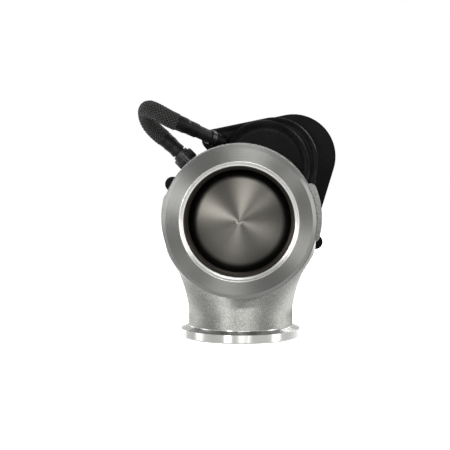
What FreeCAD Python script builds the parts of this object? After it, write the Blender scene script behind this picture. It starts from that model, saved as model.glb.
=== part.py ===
import FreeCAD, Part
import math
import os

from FreeCAD import Vector

# Electric poppet wastegate, millimetres, +Z up.
# The origin is the middle of the outlet flange face. The outlet axis is +Z and the valve axis runs
# along Y at AXIS_HEIGHT, with the inlet flange at the -Y end and the actuator at the +Y end.

# ---- Driving dimensions: hot side ----
AXIS_HEIGHT = 72.0
INLET_REACH = 51.0
INLET_BORE_R = 31.5
INLET_FACE_R = 41.8
INLET_RIM_R = 43.9
INLET_ROOT_R = 38.5
OUTLET_BORE_R = 27.5
OUTLET_TOP_R = 26.2
OUTLET_FACE_R = 35.9
OUTLET_RIM_R = 36.7
NECK_R = 32.2
RIM_CHAMFER = 1.6
RIM_WIDTH = 3.4
OUTLET_CHAMFER = 0.8
OUTLET_RIM_WIDTH = 4.4
VBAND_SLOPE_DEG = 20.0
RECESS_R = 33.0
RECESS_DEPTH = 1.6
RECESS_BEVEL = 1.0

CHAMBER_R = 40.0
CHAMBER_HALF = 27.0
CHAMBER_WALL = 5.5
REAR_WALL = 10.0
GUIDE_BOSS_R = 11.5
GUIDE_BOSS_LENGTH = 13.0
SHOULDER_R = 45.9
FLARE_R = 58.0
FLARE_START = 13.0

LUG_R = 52.0
LUG_HALF_HEIGHT = 19.0
LUG_TILT_DEG = 4.0
LUG_THICKNESS = 9.0
LUG_CORNER_R = 4.0
BODY_BOLT_CIRCLE_R = 46.3
BODY_BOLT_SPREAD_DEG = 14.0

SEAT_OUTER_R = 34.0
THROAT_R = 30.2
SEAT_LENGTH = 6.0
SEAT_CONE = 2.8
SEAT_GAP = 0.3

VALVE_FACE_R = 28.0
VALVE_DOME = 6.0
VALVE_MARGIN = 1.4
STEM_R = 5.0
LIFT = 15.0
GUIDE_R = 8.0
GUIDE_EXPOSED = 2.0
GUIDE_LENGTH = 29.0
RUNNING_GAP = 0.05

# ---- Driving dimensions: cooling housing ----
GASKET_T = 1.0
THIN_GASKET_T = 0.5
COOLER_LENGTH = 21.5
COOLER_R = 41.0
COOLER_FLANGE_T = 8.0
COOLER_BORE_R = 9.0
JACKET_INNER_R = 18.0
JACKET_OUTER_R = 31.0
JACKET_START = 6.0
JACKET_LENGTH = 11.0
PORT_ANGLES = (240.0, 300.0)
PORT_BOSS_R = 8.5
PORT_BOSS_REACH = 49.0
PORT_THREAD_R = 6.0
PORT_THREAD_DEPTH = 9.0
PORT_DRILL_R = 4.2
PLUG_HEAD_R = 8.7
PLUG_HEAD_T = 1.5
PLUG_HEX_R = 7.2
PLUG_HEX_T = 5.0
PORT_WASHER_R = 8.1
PORT_WASHER_T = 1.0
SEAL_COUNT = 3
SEAL_T = 2.2
SEAL_START = 4.0
RETAINER_T = 1.2

# ---- Driving dimensions: gearcase ----
GEARCASE_LENGTH = 28.5
GEARCASE_FLANGE_T = 4.0
NECK_RING_R = 44.0
CASE_BODY_START = 8.0
CASE_ROUND_R = 48.0
CASE_SHOULDER = (22.0, 38.0)
CASE_SHOULDER_R = 30.0
CASE_CORNER = (-21.0, 52.5)
CASE_CORNER_R = 7.2
CASE_FILLET = 7.0
MOTOR_AXIS = (15.4, 34.6)
MOTOR_LOBE_R = 31.3
MOTOR_LOBE_FILLET = 8.0
MOTOR_LOBE_START = 1.0
COVER_ROUND_R = 51.5
COVER_LOBE = (35.3, 41.3)
COVER_LOBE_R = 29.6
COVER_DEPTH = 23.0
COVER_WALL = 3.2
COVER_FILLET = 4.0
EAR_ANGLES = (156.0, 206.0, 252.0, 296.0, 340.0)
EAR_CIRCLE_R = 54.2
EAR_R = 5.2
EAR_WEB = 8.0
EAR_HEIGHT = 8.0
RIB_ANGLES = (110.0, 150.0, 190.0, 230.0, 270.0, 310.0, 350.0)
RIB_START_R = 20.0
RIB_END_R = 42.0
RIB_HALF_WIDTH = 1.3
RIB_HEIGHT = 1.2
PAD_R = 20.0
PAD_HEIGHT = 1.5
PAD_FILLET = 1.0
COVER_GASKET_T = 0.6
CASE_BOLT_CIRCLE_R = 36.0
CASE_BOLT_ANGLES = (120.0, 180.0, 240.0, 300.0)

# ---- Driving dimensions: screw drive and gears ----
SLEEVE_R = 7.5
SLEEVE_FLAT = 6.0
SLEEVE_LENGTH = 16.0
STEM_SOCKET = 8.0
SCREW_R = 5.0
BUSH_R = 11.0
BUSH_LENGTH = 10.0
NUT_R = 7.5
BEARING_OUTER_R = 12.0
BEARING_WIDTH = 5.0
BEARING_BOSS_R = 14.6
BALL_R = 1.1
BALL_COUNT = 9
RACE_HALF_GAP = 0.65
GROOVE_GAP = 0.1
GEAR_MODULE = 1.0
MOTOR_MODULE = 0.8
NUT_TEETH = 60
IDLER_SMALL_TEETH = 14
IDLER_BIG_TEETH = 50
PINION_TEETH = 12
PRESSURE_ANGLE_DEG = 25.0
NUT_GEAR_T = 6.0
IDLER_GEAR_T = 4.0
IDLER_SHAFT_R = 3.0
IDLER_BUSH_R = 4.2
IDLER_STEP_R = 5.2
IDLER_OVERHANG = 0.5
IDLER_WASHER_T = 0.8
IDLER_SHAFT_SEAT = 6.0
IDLER_SHAFT_END = 1.5
END_FLOAT = 0.1
TOOTH_TIP = 0.8
TOOTH_ROOT = 1.05
TOOTH_THINNING = 0.07
NUT_GEAR_HOLES = 6
NUT_GEAR_HOLE_R = 4.2
NUT_GEAR_HOLE_CIRCLE_R = 17.0
IDLER_GEAR_HOLES = 5
IDLER_GEAR_HOLE_R = 3.0
IDLER_GEAR_HOLE_CIRCLE_R = 11.6
PINION_OVERHANG = 0.3

# ---- Driving dimensions: motor, sensor, electrics ----
MOTOR_R = 20.5
MOTOR_WALL = 1.2
MOTOR_SHAFT_R = 2.0
MOTOR_PLATE_T = 2.0
MOTOR_BUSH_R = 5.0
MOTOR_POLES = 4
ROTOR_SLOTS = 7
ROTOR_SLOT_R = 3.2
ROTOR_SLOT_INSET = 2.5
BRUSH_R = 1.6
BRUSH_LENGTH = 8.0
BRUSH_GAP = 0.15
ROTOR_R = 14.2
MAGNET_T = 4.0
CAP_R = 17.0
CAP_WALL = 2.6
SENSOR_GAP = 0.8
CAP_BORE_R = 9.0
CAP_SEAT_LENGTH = 6.0
CAP_FILLET = 3.0
CAP_SEAL_R = 10.5
CAP_SEAL_T = 0.7
CAP_SEAL_DEPTH = 1.2
CAP_SCREW_CIRCLE_R = 13.2
CAP_SCREW_HEAD_R = 2.8
CAP_SCREW_HEAD_H = 2.8
CAP_SCREW_SEAT = 4.0
CAP_SCREW_BITE = 4.0
MAGNET_R = 4.0
MAGNET_LENGTH = 3.0
BOARD_T = 1.6
BOARD_X = (-14.8, 3.2)
BOARD_Z = (36.0, 55.6)
BOARD_STANDOFF = 3.0
STANDOFF_R = 2.4
STANDOFF_HEAD_H = 1.6
STANDOFF_BITE = 3.5
M6_R = 3.0
M6_HEAD_R = 4.8
M5_R = 2.5
M5_HEAD_R = 4.25
M5_HEAD_H = 4.8
M4_R = 2.0
M4_HEAD_R = 3.5
M4_HEAD_H = 4.0
M3_R = 1.5
HOLE_GAP = 0.3
CASE_BOLT_SEAT = 6.0
CASE_BOLT_BITE = 9.0
SCREW_POST_R = 4.8

# ---- Driving dimensions: lead ----
LEAD_D = 8.6
LEAD_SLEEVE_D = 11.8
BOOT_D = 10.2
SLEEVE_GAP = 0.15
LEAD_END_GAP = 0.2
GLAND_START = (-14.0, 68.0, 50.5)
GLAND_DIRECTION = (-0.764, -0.553, 0.332)
GLAND_REACH = 11.0
GLAND_BOSS_R = 5.2
GLAND_BOSS_LENGTH = 7.0
GLAND_BODY_R = 4.8
GLAND_BODY_LENGTH = 1.2
GLAND_SPIGOT_R = 3.6
GLAND_SPIGOT_LENGTH = 1.0
SOCKET_ANGLE = 135.0
SOCKET_START_R = 46.0
SOCKET_Y = 77.0
SOCKET_REACH = 15.5
SOCKET_BOSS_R = 7.2
SOCKET_BOSS_LENGTH = 5.0
CONNECTOR_R = 5.6
COLLAR_R = 7.2
COLLAR_START = 6.5
COLLAR_END_INSET = 2.0
LEAD_POINTS = (
    (-38.4, 50.3, 61.1),
    (-47.9, 48.0, 64.9),
    (-56.7, 50.0, 69.4),
    (-63.1, 56.0, 71.8),
    (-66.0, 65.0, 69.8),
    (-65.3, 72.5, 64.9),
    (-60.2, 76.5, 58.2),
    (-50.9, 77.0, 50.9),
)

# ---- Places that follow from the sizes ----
INLET_Y = -INLET_REACH
SEAT_FRONT = -CHAMBER_HALF - SEAT_LENGTH
BODY_REAR = CHAMBER_HALF + REAR_WALL
COOLER_FRONT = BODY_REAR + GASKET_T
COOLER_REAR = COOLER_FRONT + COOLER_LENGTH
CASE_FRONT = COOLER_REAR + THIN_GASKET_T
CASE_REAR = CASE_FRONT + GEARCASE_LENGTH
COVER_FRONT = CASE_REAR + COVER_GASKET_T
COVER_REAR = COVER_FRONT + COVER_DEPTH
COVER_FLOOR = COVER_REAR - COVER_WALL
CAP_FRONT = COVER_REAR + CAP_SEAT_LENGTH
BUSH_REAR = CASE_FRONT + BUSH_LENGTH
SLEEVE_FRONT = CASE_FRONT - STEM_SOCKET
SLEEVE_REAR = SLEEVE_FRONT + SLEEVE_LENGTH
SCREW_REAR = COVER_FLOOR - 2.8
MAGNET_TRAVEL_END = SCREW_REAR + MAGNET_LENGTH + LIFT
CAP_REAR = MAGNET_TRAVEL_END + SENSOR_GAP + BOARD_T + CAP_WALL
FRONT_BEARING = CASE_REAR + 0.5
NUT_GEAR_START = FRONT_BEARING + BEARING_WIDTH + 1.5
IDLER_GEAR_START = NUT_GEAR_START + NUT_GEAR_T + 1.5
REAR_BEARING = IDLER_GEAR_START
IDLER_FRONT = NUT_GEAR_START - IDLER_OVERHANG
IDLER_HUB_R = GEAR_MODULE * IDLER_SMALL_TEETH / 2 - 1.4


def polar(radius, degrees):
    """A place in the plane across the valve axis, as x and height above that axis."""
    turn = math.radians(degrees)
    return radius * math.cos(turn), radius * math.sin(turn)


def outline(start, steps, place):
    """Closed face from lines (2 numbers) and arcs (via and end, 4 numbers), in the plane of `place`."""
    edges = []
    here = start
    for step in list(steps) + [start]:
        end = step[-2:]
        if math.dist(here, end) < 1e-6:
            continue
        if len(step) == 4:
            edges.append(Part.Arc(place(*here), place(*step[:2]), place(*end)).toShape())
        else:
            edges.append(Part.LineSegment(place(*here), place(*end)).toShape())
        here = end
    return Part.Face(Part.Wire(edges))


def turned(start, *steps, centre=(0.0, 0.0)):
    """Solid of revolution about a line along Y; the outline is given as radius and y."""
    face = outline(start, steps, lambda r, y: Vector(r, y, 0))
    solid = face.revolve(Vector(0, 0, 0), Vector(0, 1, 0), 360)
    solid.translate(Vector(centre[0], 0, AXIS_HEIGHT + centre[1]))
    return solid


def upright(start, *steps):
    """Solid of revolution about the outlet axis; the outline is given as radius and z."""
    face = outline(start, steps, lambda r, z: Vector(r, 0, z))
    return face.revolve(Vector(0, 0, 0), Vector(0, 0, 1), 360)


def rod(radius, y_start, y_end, centre=(0.0, 0.0)):
    """Round bar along Y."""
    base = Vector(centre[0], y_start, AXIS_HEIGHT + centre[1])
    return Part.makeCylinder(radius, y_end - y_start, base, Vector(0, 1, 0))


def ring(outer_r, inner_r, y_start, y_end, centre=(0.0, 0.0)):
    """Round sleeve along Y."""
    return rod(outer_r, y_start, y_end, centre).cut(rod(inner_r, y_start, y_end, centre))


def bar(radius, start, direction, reach_from, reach_to):
    """Round bar along any direction, between two distances from a start point."""
    way = Vector(*direction).normalize()
    base = Vector(*start) + way * reach_from
    return Part.makeCylinder(radius, reach_to - reach_from, base, way)


def joined(first, *others):
    """Several overlapping solids as one."""
    return first.fuse(list(others)).removeSplitter()


def capsule(centre_a, radius_a, centre_b, radius_b):
    """Face across the valve axis: two circles and the lines that touch both."""
    run = math.hypot(centre_b[0] - centre_a[0], centre_b[1] - centre_a[1])
    heading = math.atan2(centre_b[1] - centre_a[1], centre_b[0] - centre_a[0])
    spread = math.acos((radius_a - radius_b) / run)

    def on(centre, radius, turn):
        return centre[0] + radius * math.cos(turn), centre[1] + radius * math.sin(turn)

    return outline(
        on(centre_a, radius_a, heading + spread),
        [
            on(centre_b, radius_b, heading + spread),
            on(centre_b, radius_b, heading) + on(centre_b, radius_b, heading - spread),
            on(centre_a, radius_a, heading - spread),
            on(centre_a, radius_a, heading + math.pi) + on(centre_a, radius_a, heading + spread),
        ],
        lambda x, z: Vector(x, 0, AXIS_HEIGHT + z),
    )


def prism(face, y_start, y_end):
    """Face across the valve axis, made solid between two y values."""
    moved = face.copy()
    moved.translate(Vector(0, y_start, 0))
    return moved.extrude(Vector(0, y_end - y_start, 0))


def rounded_end(solid, y_value, radius):
    """Rounds every edge of a prism's end at the given y."""
    edges = [e for e in solid.Edges if all(abs(v.Point.y - y_value) < 1e-4 for v in e.Vertexes)]
    return solid.makeFillet(radius, edges)


def screw(shank_r, head_r, head_h, y_head, y_tip, centre):
    """Socket-head screw that points forward: head behind y_head, shank down to y_tip."""
    head = rod(head_r, y_head, y_head + head_h, centre)
    socket = rod(shank_r * 0.85, y_head + head_h * 0.45, y_head + head_h, centre)
    shank = rod(shank_r, y_tip, y_head, centre)
    return joined(head, shank).cut(socket)


# ---- Hot side ----


def body_bolt_places():
    """Centres of the four bolts that hold the valve body to the cooling housing."""
    return [
        polar(BODY_BOLT_CIRCLE_R, side + LUG_TILT_DEG + spread)
        for side in (0.0, 180.0)
        for spread in (-BODY_BOLT_SPREAD_DEG, BODY_BOLT_SPREAD_DEG)
    ]


def lug_plate(y_start, y_end):
    """Pair of broad side lugs, tilted a little about the valve axis."""
    disc = rod(LUG_R, y_start, y_end)
    length = y_end - y_start
    corner = Vector(-LUG_R, y_start, AXIS_HEIGHT - LUG_HALF_HEIGHT)
    band = Part.makeBox(2 * LUG_R, length, 2 * LUG_HALF_HEIGHT, corner)
    plate = disc.common(band)
    corners = [
        e for e in plate.Edges
        if len(e.Vertexes) == 2 and abs(e.Vertexes[0].Point.y - e.Vertexes[1].Point.y) > length / 2
    ]
    plate = plate.makeFillet(LUG_CORNER_R, corners)
    plate.rotate(Vector(0, 0, AXIS_HEIGHT), Vector(0, -1, 0), LUG_TILT_DEG)
    return plate


def neck():
    """Outlet neck: round at the flange, flared and flattened front to back where it meets the chamber."""
    growth = SHOULDER_R - NECK_R
    rise = math.sqrt(FLARE_R ** 2 - (FLARE_R - growth) ** 2)
    shoulder = FLARE_START + rise
    levels = []
    for share in (0.0, 0.3, 0.55, 0.75, 0.9):
        height = share * rise
        levels.append((FLARE_START + height, FLARE_R - math.sqrt(FLARE_R ** 2 - height ** 2)))
    levels += [(shoulder + 3.0, growth), (shoulder + 11.0, growth), (AXIS_HEIGHT + 2.0, growth - 1.4)]
    levels.append((AXIS_HEIGHT + 14.0, growth - 6.0))
    sections = []
    for level, grown in levels:
        curve = Part.Ellipse(Vector(0, 0, level), NECK_R + grown, NECK_R + grown * 0.3)
        sections.append(Part.Wire([curve.toShape()]))
    return Part.makeLoft(sections, True, False)


def valve_body():
    """Investment-cast body with both V-band flanges, the valve chamber and the rear lug flange."""
    slope = math.tan(math.radians(VBAND_SLOPE_DEG))
    chamber_outer = CHAMBER_R + CHAMBER_WALL
    rim_end = INLET_Y + RIM_CHAMFER + RIM_WIDTH
    root = rim_end + (INLET_RIM_R - INLET_ROOT_R) * slope
    barrel = turned(
        (0, INLET_Y),
        (INLET_FACE_R, INLET_Y),
        (INLET_RIM_R, INLET_Y + RIM_CHAMFER),
        (INLET_RIM_R, rim_end),
        (INLET_ROOT_R, root),
        (INLET_ROOT_R, root + 5.0),
        (INLET_ROOT_R + 1.3, root + 8.2, chamber_outer, root + 9.5),
        (chamber_outer, BODY_REAR),
        (0, BODY_REAR),
    )
    flange_top = OUTLET_CHAMFER + OUTLET_RIM_WIDTH + (OUTLET_RIM_R - NECK_R) * slope
    outlet = upright(
        (0, 0),
        (OUTLET_FACE_R, 0),
        (OUTLET_RIM_R, OUTLET_CHAMFER),
        (OUTLET_RIM_R, OUTLET_CHAMFER + OUTLET_RIM_WIDTH),
        (NECK_R, flange_top),
        (NECK_R, FLARE_START),
        (0, FLARE_START),
    )
    lugs = lug_plate(BODY_REAR - LUG_THICKNESS, BODY_REAR)
    body = joined(barrel, outlet, neck(), lugs)

    boss_front = CHAMBER_HALF - GUIDE_BOSS_LENGTH
    gas_path = turned(
        (0, INLET_Y - 1),
        (RECESS_R + RECESS_BEVEL + 1, INLET_Y - 1),
        (RECESS_R + RECESS_BEVEL, INLET_Y),
        (RECESS_R, INLET_Y + RECESS_BEVEL),
        (RECESS_R, INLET_Y + RECESS_DEPTH),
        (INLET_BORE_R, INLET_Y + RECESS_DEPTH + 0.9),
        (INLET_BORE_R, SEAT_FRONT),
        (SEAT_OUTER_R, SEAT_FRONT),
        (SEAT_OUTER_R, -CHAMBER_HALF),
        (CHAMBER_R, -CHAMBER_HALF),
        (CHAMBER_R, CHAMBER_HALF),
        (GUIDE_BOSS_R + 4.0, CHAMBER_HALF),
        (GUIDE_BOSS_R + 1.2, CHAMBER_HALF - 1.2, GUIDE_BOSS_R, CHAMBER_HALF - 4.0),
        (GUIDE_BOSS_R - 1.0, boss_front),
        (0, boss_front),
    )
    bore_top = AXIS_HEIGHT - math.sqrt(CHAMBER_R ** 2 - OUTLET_TOP_R ** 2) + 1
    outlet_bore = upright(
        (0, -1),
        (OUTLET_BORE_R, -1),
        (OUTLET_BORE_R, FLARE_START),
        (OUTLET_TOP_R, bore_top),
        (0, bore_top),
    )
    body = body.cut([gas_path, outlet_bore, rod(GUIDE_R, 0, BODY_REAR + 1)])
    holes = [
        rod(M6_R, BODY_REAR - LUG_THICKNESS + 1, BODY_REAR + 1, place) for place in body_bolt_places()
    ]
    return body.cut(holes)


def valve_seat():
    """Hardened seat ring, pressed into the front wall of the chamber."""
    cone_start = -CHAMBER_HALF - SEAT_CONE
    return turned(
        (THROAT_R, SEAT_FRONT + 0.6),
        (THROAT_R + 0.6, SEAT_FRONT),
        (SEAT_OUTER_R, SEAT_FRONT),
        (SEAT_OUTER_R, -CHAMBER_HALF),
        (THROAT_R + SEAT_CONE, -CHAMBER_HALF),
        (THROAT_R, cone_start),
    )


def poppet_valve():
    """Turned valve: domed face, 45 degree seat cone, tulip back and stem."""
    inset = SEAT_GAP * math.sqrt(2)
    cone_front = -CHAMBER_HALF - SEAT_CONE - 1.0
    cone_front_r = THROAT_R - 1.0 - inset
    head_r = THROAT_R + SEAT_CONE - inset
    face_edge = cone_front - (cone_front_r - VALVE_FACE_R)
    apex = face_edge - VALVE_DOME
    back = -CHAMBER_HALF + VALVE_MARGIN
    stem_end = SLEEVE_FRONT + STEM_SOCKET
    sphere_r = (VALVE_FACE_R ** 2 + VALVE_DOME ** 2) / (2 * VALVE_DOME)
    half_angle = math.asin(VALVE_FACE_R / sphere_r) / 2
    dome_via = (sphere_r * math.sin(half_angle), apex + sphere_r * (1 - math.cos(half_angle)))
    valve = turned(
        (0, apex),
        dome_via + (VALVE_FACE_R, face_edge),
        (cone_front_r, cone_front),
        (head_r, -CHAMBER_HALF),
        (head_r, back),
        (STEM_R + 8.5, back + 6.2, STEM_R, back + 17.0),
        (STEM_R, stem_end),
        (0, stem_end),
    )
    return valve.cut(bar(M3_R, (0, pin_y(), AXIS_HEIGHT), (1, 0, 0), -SLEEVE_R, SLEEVE_R))


def stem_guide():
    """Sintered guide pressed into the rear wall; the stem slides in it."""
    front = CHAMBER_HALF - GUIDE_BOSS_LENGTH - GUIDE_EXPOSED
    return ring(GUIDE_R, STEM_R + RUNNING_GAP, front, front + GUIDE_LENGTH)


def body_gasket():
    """Multi-layer steel gasket between the valve body and the cooling housing."""
    sheet = joined(rod(COOLER_R, BODY_REAR, COOLER_FRONT), lug_plate(BODY_REAR, COOLER_FRONT))
    holes = [rod(M6_R + HOLE_GAP, BODY_REAR, COOLER_FRONT, place) for place in body_bolt_places()]
    return sheet.cut(holes + [rod(COOLER_BORE_R, BODY_REAR, COOLER_FRONT)])


def body_bolts():
    """Four socket-head bolts from the cooling housing's lugs into the body's lugs."""
    seat = COOLER_FRONT + COOLER_FLANGE_T
    tip = BODY_REAR - LUG_THICKNESS + 1.5
    return [screw(M6_R, M6_HEAD_R, M6_R * 2, seat, tip, place) for place in body_bolt_places()]


# ---- Cooling housing ----


def port_direction(angle):
    """Way out of a coolant port, as a direction."""
    x, z = polar(1.0, angle)
    return x, 0, z


def port_start():
    """Point on the valve axis that the coolant ports point away from."""
    return 0, COOLER_FRONT + JACKET_START + JACKET_LENGTH / 2, AXIS_HEIGHT


def case_bolt_places():
    """Centres of the four long bolts that hold the gearcase to the cooling housing."""
    return [polar(CASE_BOLT_CIRCLE_R, angle) for angle in CASE_BOLT_ANGLES]


def cooling_housing():
    """Aluminium housing with a coolant jacket, between the hot body and the gearcase."""
    drum = rod(COOLER_R, COOLER_FRONT, COOLER_REAR)
    lugs = lug_plate(COOLER_FRONT, COOLER_FRONT + COOLER_FLANGE_T)
    bosses = [
        bar(PORT_BOSS_R, port_start(), port_direction(angle), JACKET_OUTER_R, PORT_BOSS_REACH)
        for angle in PORT_ANGLES
    ]
    body = joined(drum, lugs, *bosses)
    jacket_start = COOLER_FRONT + JACKET_START
    cuts = [
        ring(JACKET_OUTER_R, JACKET_INNER_R, jacket_start, jacket_start + JACKET_LENGTH),
        rod(COOLER_BORE_R, COOLER_FRONT, COOLER_REAR),
    ]
    for angle in PORT_ANGLES:
        way = port_direction(angle)
        cuts.append(bar(PORT_DRILL_R, port_start(), way, JACKET_OUTER_R - 1, PORT_BOSS_REACH))
        thread_start = PORT_BOSS_REACH - PORT_THREAD_DEPTH
        cuts.append(bar(PORT_THREAD_R, port_start(), way, thread_start, PORT_BOSS_REACH + 1))
    for place in body_bolt_places():
        cuts.append(rod(M6_R + HOLE_GAP, COOLER_FRONT, COOLER_FRONT + COOLER_FLANGE_T, place))
        head_room = COOLER_FRONT + COOLER_FLANGE_T
        cuts.append(rod(M6_HEAD_R + HOLE_GAP, head_room, COOLER_REAR, place))
    for place in case_bolt_places():
        cuts.append(rod(M5_R, COOLER_REAR - CASE_BOLT_BITE - 1, COOLER_REAR, place))
    return body.cut(cuts)


def port_plugs():
    """Hex plugs that close the two coolant ports until hoses are fitted."""
    plugs = []
    for angle in PORT_ANGLES:
        way = port_direction(angle)
        base = PORT_BOSS_REACH + PORT_WASHER_T
        shank = bar(PORT_THREAD_R, port_start(), way, base - PORT_THREAD_DEPTH + 0.5, base)
        head = bar(PLUG_HEAD_R, port_start(), way, base, base + PLUG_HEAD_T)
        centre = Vector(*port_start()) + Vector(*way) * (base + PLUG_HEAD_T)
        across = Vector(0, 1, 0)
        side = Vector(*way).cross(across)
        corners = []
        for step in range(7):
            turn = math.radians(60 * step)
            corners.append(centre + (across * math.cos(turn) + side * math.sin(turn)) * PLUG_HEX_R)
        hexagon = Part.Face(Part.makePolygon(corners)).extrude(Vector(*way) * PLUG_HEX_T)
        plugs.append(joined(head, shank, hexagon))
    return plugs


def port_washers():
    """Copper washers under the plugs."""
    washers = []
    end = PORT_BOSS_REACH + PORT_WASHER_T
    for angle in PORT_ANGLES:
        way = port_direction(angle)
        disc = bar(PORT_WASHER_R, port_start(), way, PORT_BOSS_REACH, end)
        washers.append(disc.cut(bar(PORT_THREAD_R, port_start(), way, PORT_BOSS_REACH, end)))
    return washers


def seal_rear():
    """Rear face of the stem seals."""
    return COOLER_FRONT + SEAL_START + SEAL_COUNT * SEAL_T


def stem_seals():
    """Carbon seal rings round the stem."""
    start = COOLER_FRONT + SEAL_START
    return [
        ring(COOLER_BORE_R, STEM_R + RUNNING_GAP, start + n * SEAL_T, start + (n + 1) * SEAL_T)
        for n in range(SEAL_COUNT)
    ]


def seal_retainer():
    """Steel ring that keeps the seals in their bore."""
    return ring(COOLER_BORE_R, STEM_R + 1.5, seal_rear(), seal_rear() + RETAINER_T)


def gearcase_gasket():
    """Thin gasket between the cooling housing and the gearcase."""
    sheet = ring(COOLER_R, BUSH_R, COOLER_REAR, CASE_FRONT)
    return sheet.cut([rod(M5_R + HOLE_GAP, COOLER_REAR, CASE_FRONT, place) for place in case_bolt_places()])


# ---- Screw drive ----


def pin_y():
    """Centre of the cross pin that ties the stem to the screw."""
    return SLEEVE_FRONT + STEM_SOCKET / 2


def double_d(radius, flat, y_start, y_end):
    """Round bar with two flats, one above and one below the axis."""
    band = Part.makeBox(
        2 * radius, y_end - y_start, 2 * flat, Vector(-radius, y_start, AXIS_HEIGHT - flat)
    )
    return rod(radius, y_start, y_end).common(band)


def lead_screw():
    """Screw with a flatted sleeve in front that can't turn and takes the valve stem."""
    sleeve = double_d(SLEEVE_R, SLEEVE_FLAT, SLEEVE_FRONT, SLEEVE_REAR)
    body = joined(sleeve, rod(SCREW_R, SLEEVE_REAR - 1, SCREW_REAR))
    pin_hole = bar(M3_R, (0, pin_y(), AXIS_HEIGHT), (1, 0, 0), -SLEEVE_R, SLEEVE_R)
    return body.cut([rod(STEM_R, SLEEVE_FRONT, SLEEVE_FRONT + STEM_SOCKET), pin_hole])


def coupling_pin():
    """Cross pin through the sleeve and the stem."""
    return bar(M3_R, (0, pin_y(), AXIS_HEIGHT), (1, 0, 0), -SLEEVE_R + 0.4, SLEEVE_R - 0.4)


def anti_rotation_bush():
    """Bronze bush whose flats stop the screw from turning while it slides."""
    hole = double_d(SLEEVE_R + RUNNING_GAP, SLEEVE_FLAT + RUNNING_GAP, CASE_FRONT, BUSH_REAR)
    return rod(BUSH_R, CASE_FRONT, BUSH_REAR).cut(hole)


def sensor_magnet():
    """Magnet on the screw's rear end that the position sensor reads."""
    return rod(MAGNET_R, SCREW_REAR, SCREW_REAR + MAGNET_LENGTH)


def drive_nut():
    """Bronze nut that turns in two bearings and drives the screw."""
    rear = REAR_BEARING + BEARING_WIDTH + 0.4
    barrel = rod(NUT_R, FRONT_BEARING - 0.2, rear)
    shoulder_start = FRONT_BEARING + BEARING_WIDTH + 0.3
    shoulder = rod(NUT_R + 2.0, shoulder_start, NUT_GEAR_START)
    bore = rod(SCREW_R + RUNNING_GAP, FRONT_BEARING - 0.2, rear)
    return joined(barrel, shoulder).cut(bore)


def involute_spread(pressure_angle):
    """Involute function of an angle."""
    return math.tan(pressure_angle) - pressure_angle


def gear_face(module, teeth, phase_deg, centre):
    """Spur gear outline with stub involute teeth; one tooth is centred on the phase angle."""
    pressure = math.radians(PRESSURE_ANGLE_DEG)
    pitch_r = module * teeth / 2
    base_r = pitch_r * math.cos(pressure)
    half_tooth = math.pi / (2 * teeth) - TOOTH_THINNING * module / pitch_r
    flank = []
    for radius in (pitch_r - TOOTH_ROOT * module, pitch_r, pitch_r + TOOTH_TIP * module):
        reach = math.acos(min(1.0, base_r / max(radius, base_r)))
        flank.append((radius, half_tooth + involute_spread(pressure) - involute_spread(reach)))
    points = []
    for tooth in range(teeth):
        middle = math.radians(phase_deg) + 2 * math.pi * tooth / teeth
        for radius, half in flank:
            points.append((radius, middle - half))
        for radius, half in reversed(flank):
            points.append((radius, middle + half))
    corners = [
        Vector(centre[0] + r * math.cos(turn), 0, AXIS_HEIGHT + centre[1] + r * math.sin(turn))
        for r, turn in points
    ]
    return Part.Face(Part.makePolygon(corners + [corners[0]]))


def idler_axis():
    """Idler axis, where the centre distances to the nut gear and to the motor pinion meet."""
    to_nut = GEAR_MODULE * (NUT_TEETH + IDLER_SMALL_TEETH) / 2
    to_motor = MOTOR_MODULE * (IDLER_BIG_TEETH + PINION_TEETH) / 2
    span = math.hypot(*MOTOR_AXIS)
    along = (to_nut ** 2 - to_motor ** 2 + span ** 2) / (2 * span)
    side = math.sqrt(to_nut ** 2 - along ** 2)
    unit = (MOTOR_AXIS[0] / span, MOTOR_AXIS[1] / span)
    return along * unit[0] + side * unit[1], along * unit[1] - side * unit[0]


def heading(start, end):
    """Direction from one axis to another, in degrees."""
    return math.degrees(math.atan2(end[1] - start[1], end[0] - start[0]))


def nut_gear():
    """Steel gear pressed on the nut, with a ring of lightening holes."""
    end = NUT_GEAR_START + NUT_GEAR_T
    to_idler = heading((0, 0), idler_axis())
    gear = prism(gear_face(GEAR_MODULE, NUT_TEETH, to_idler, (0, 0)), NUT_GEAR_START, end)
    cuts = [rod(NUT_R, NUT_GEAR_START, end)]
    for n in range(NUT_GEAR_HOLES):
        place = polar(NUT_GEAR_HOLE_CIRCLE_R, 360 * n / NUT_GEAR_HOLES)
        cuts.append(rod(NUT_GEAR_HOLE_R, NUT_GEAR_START, end, place))
    return gear.cut(cuts)


def idler_pinion():
    """Small idler gear with the hub that carries the big one."""
    idler = idler_axis()
    phase = heading((0, 0), idler) + 180 + 180 / IDLER_SMALL_TEETH
    end = IDLER_GEAR_START + IDLER_GEAR_T
    hub_start = IDLER_GEAR_START - IDLER_OVERHANG
    teeth = prism(gear_face(GEAR_MODULE, IDLER_SMALL_TEETH, phase, idler), IDLER_FRONT, hub_start)
    hub = rod(IDLER_HUB_R, hub_start, end, idler)
    bore = rod(IDLER_BUSH_R, IDLER_FRONT, end, idler)
    return joined(teeth, hub).cut(bore)


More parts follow.
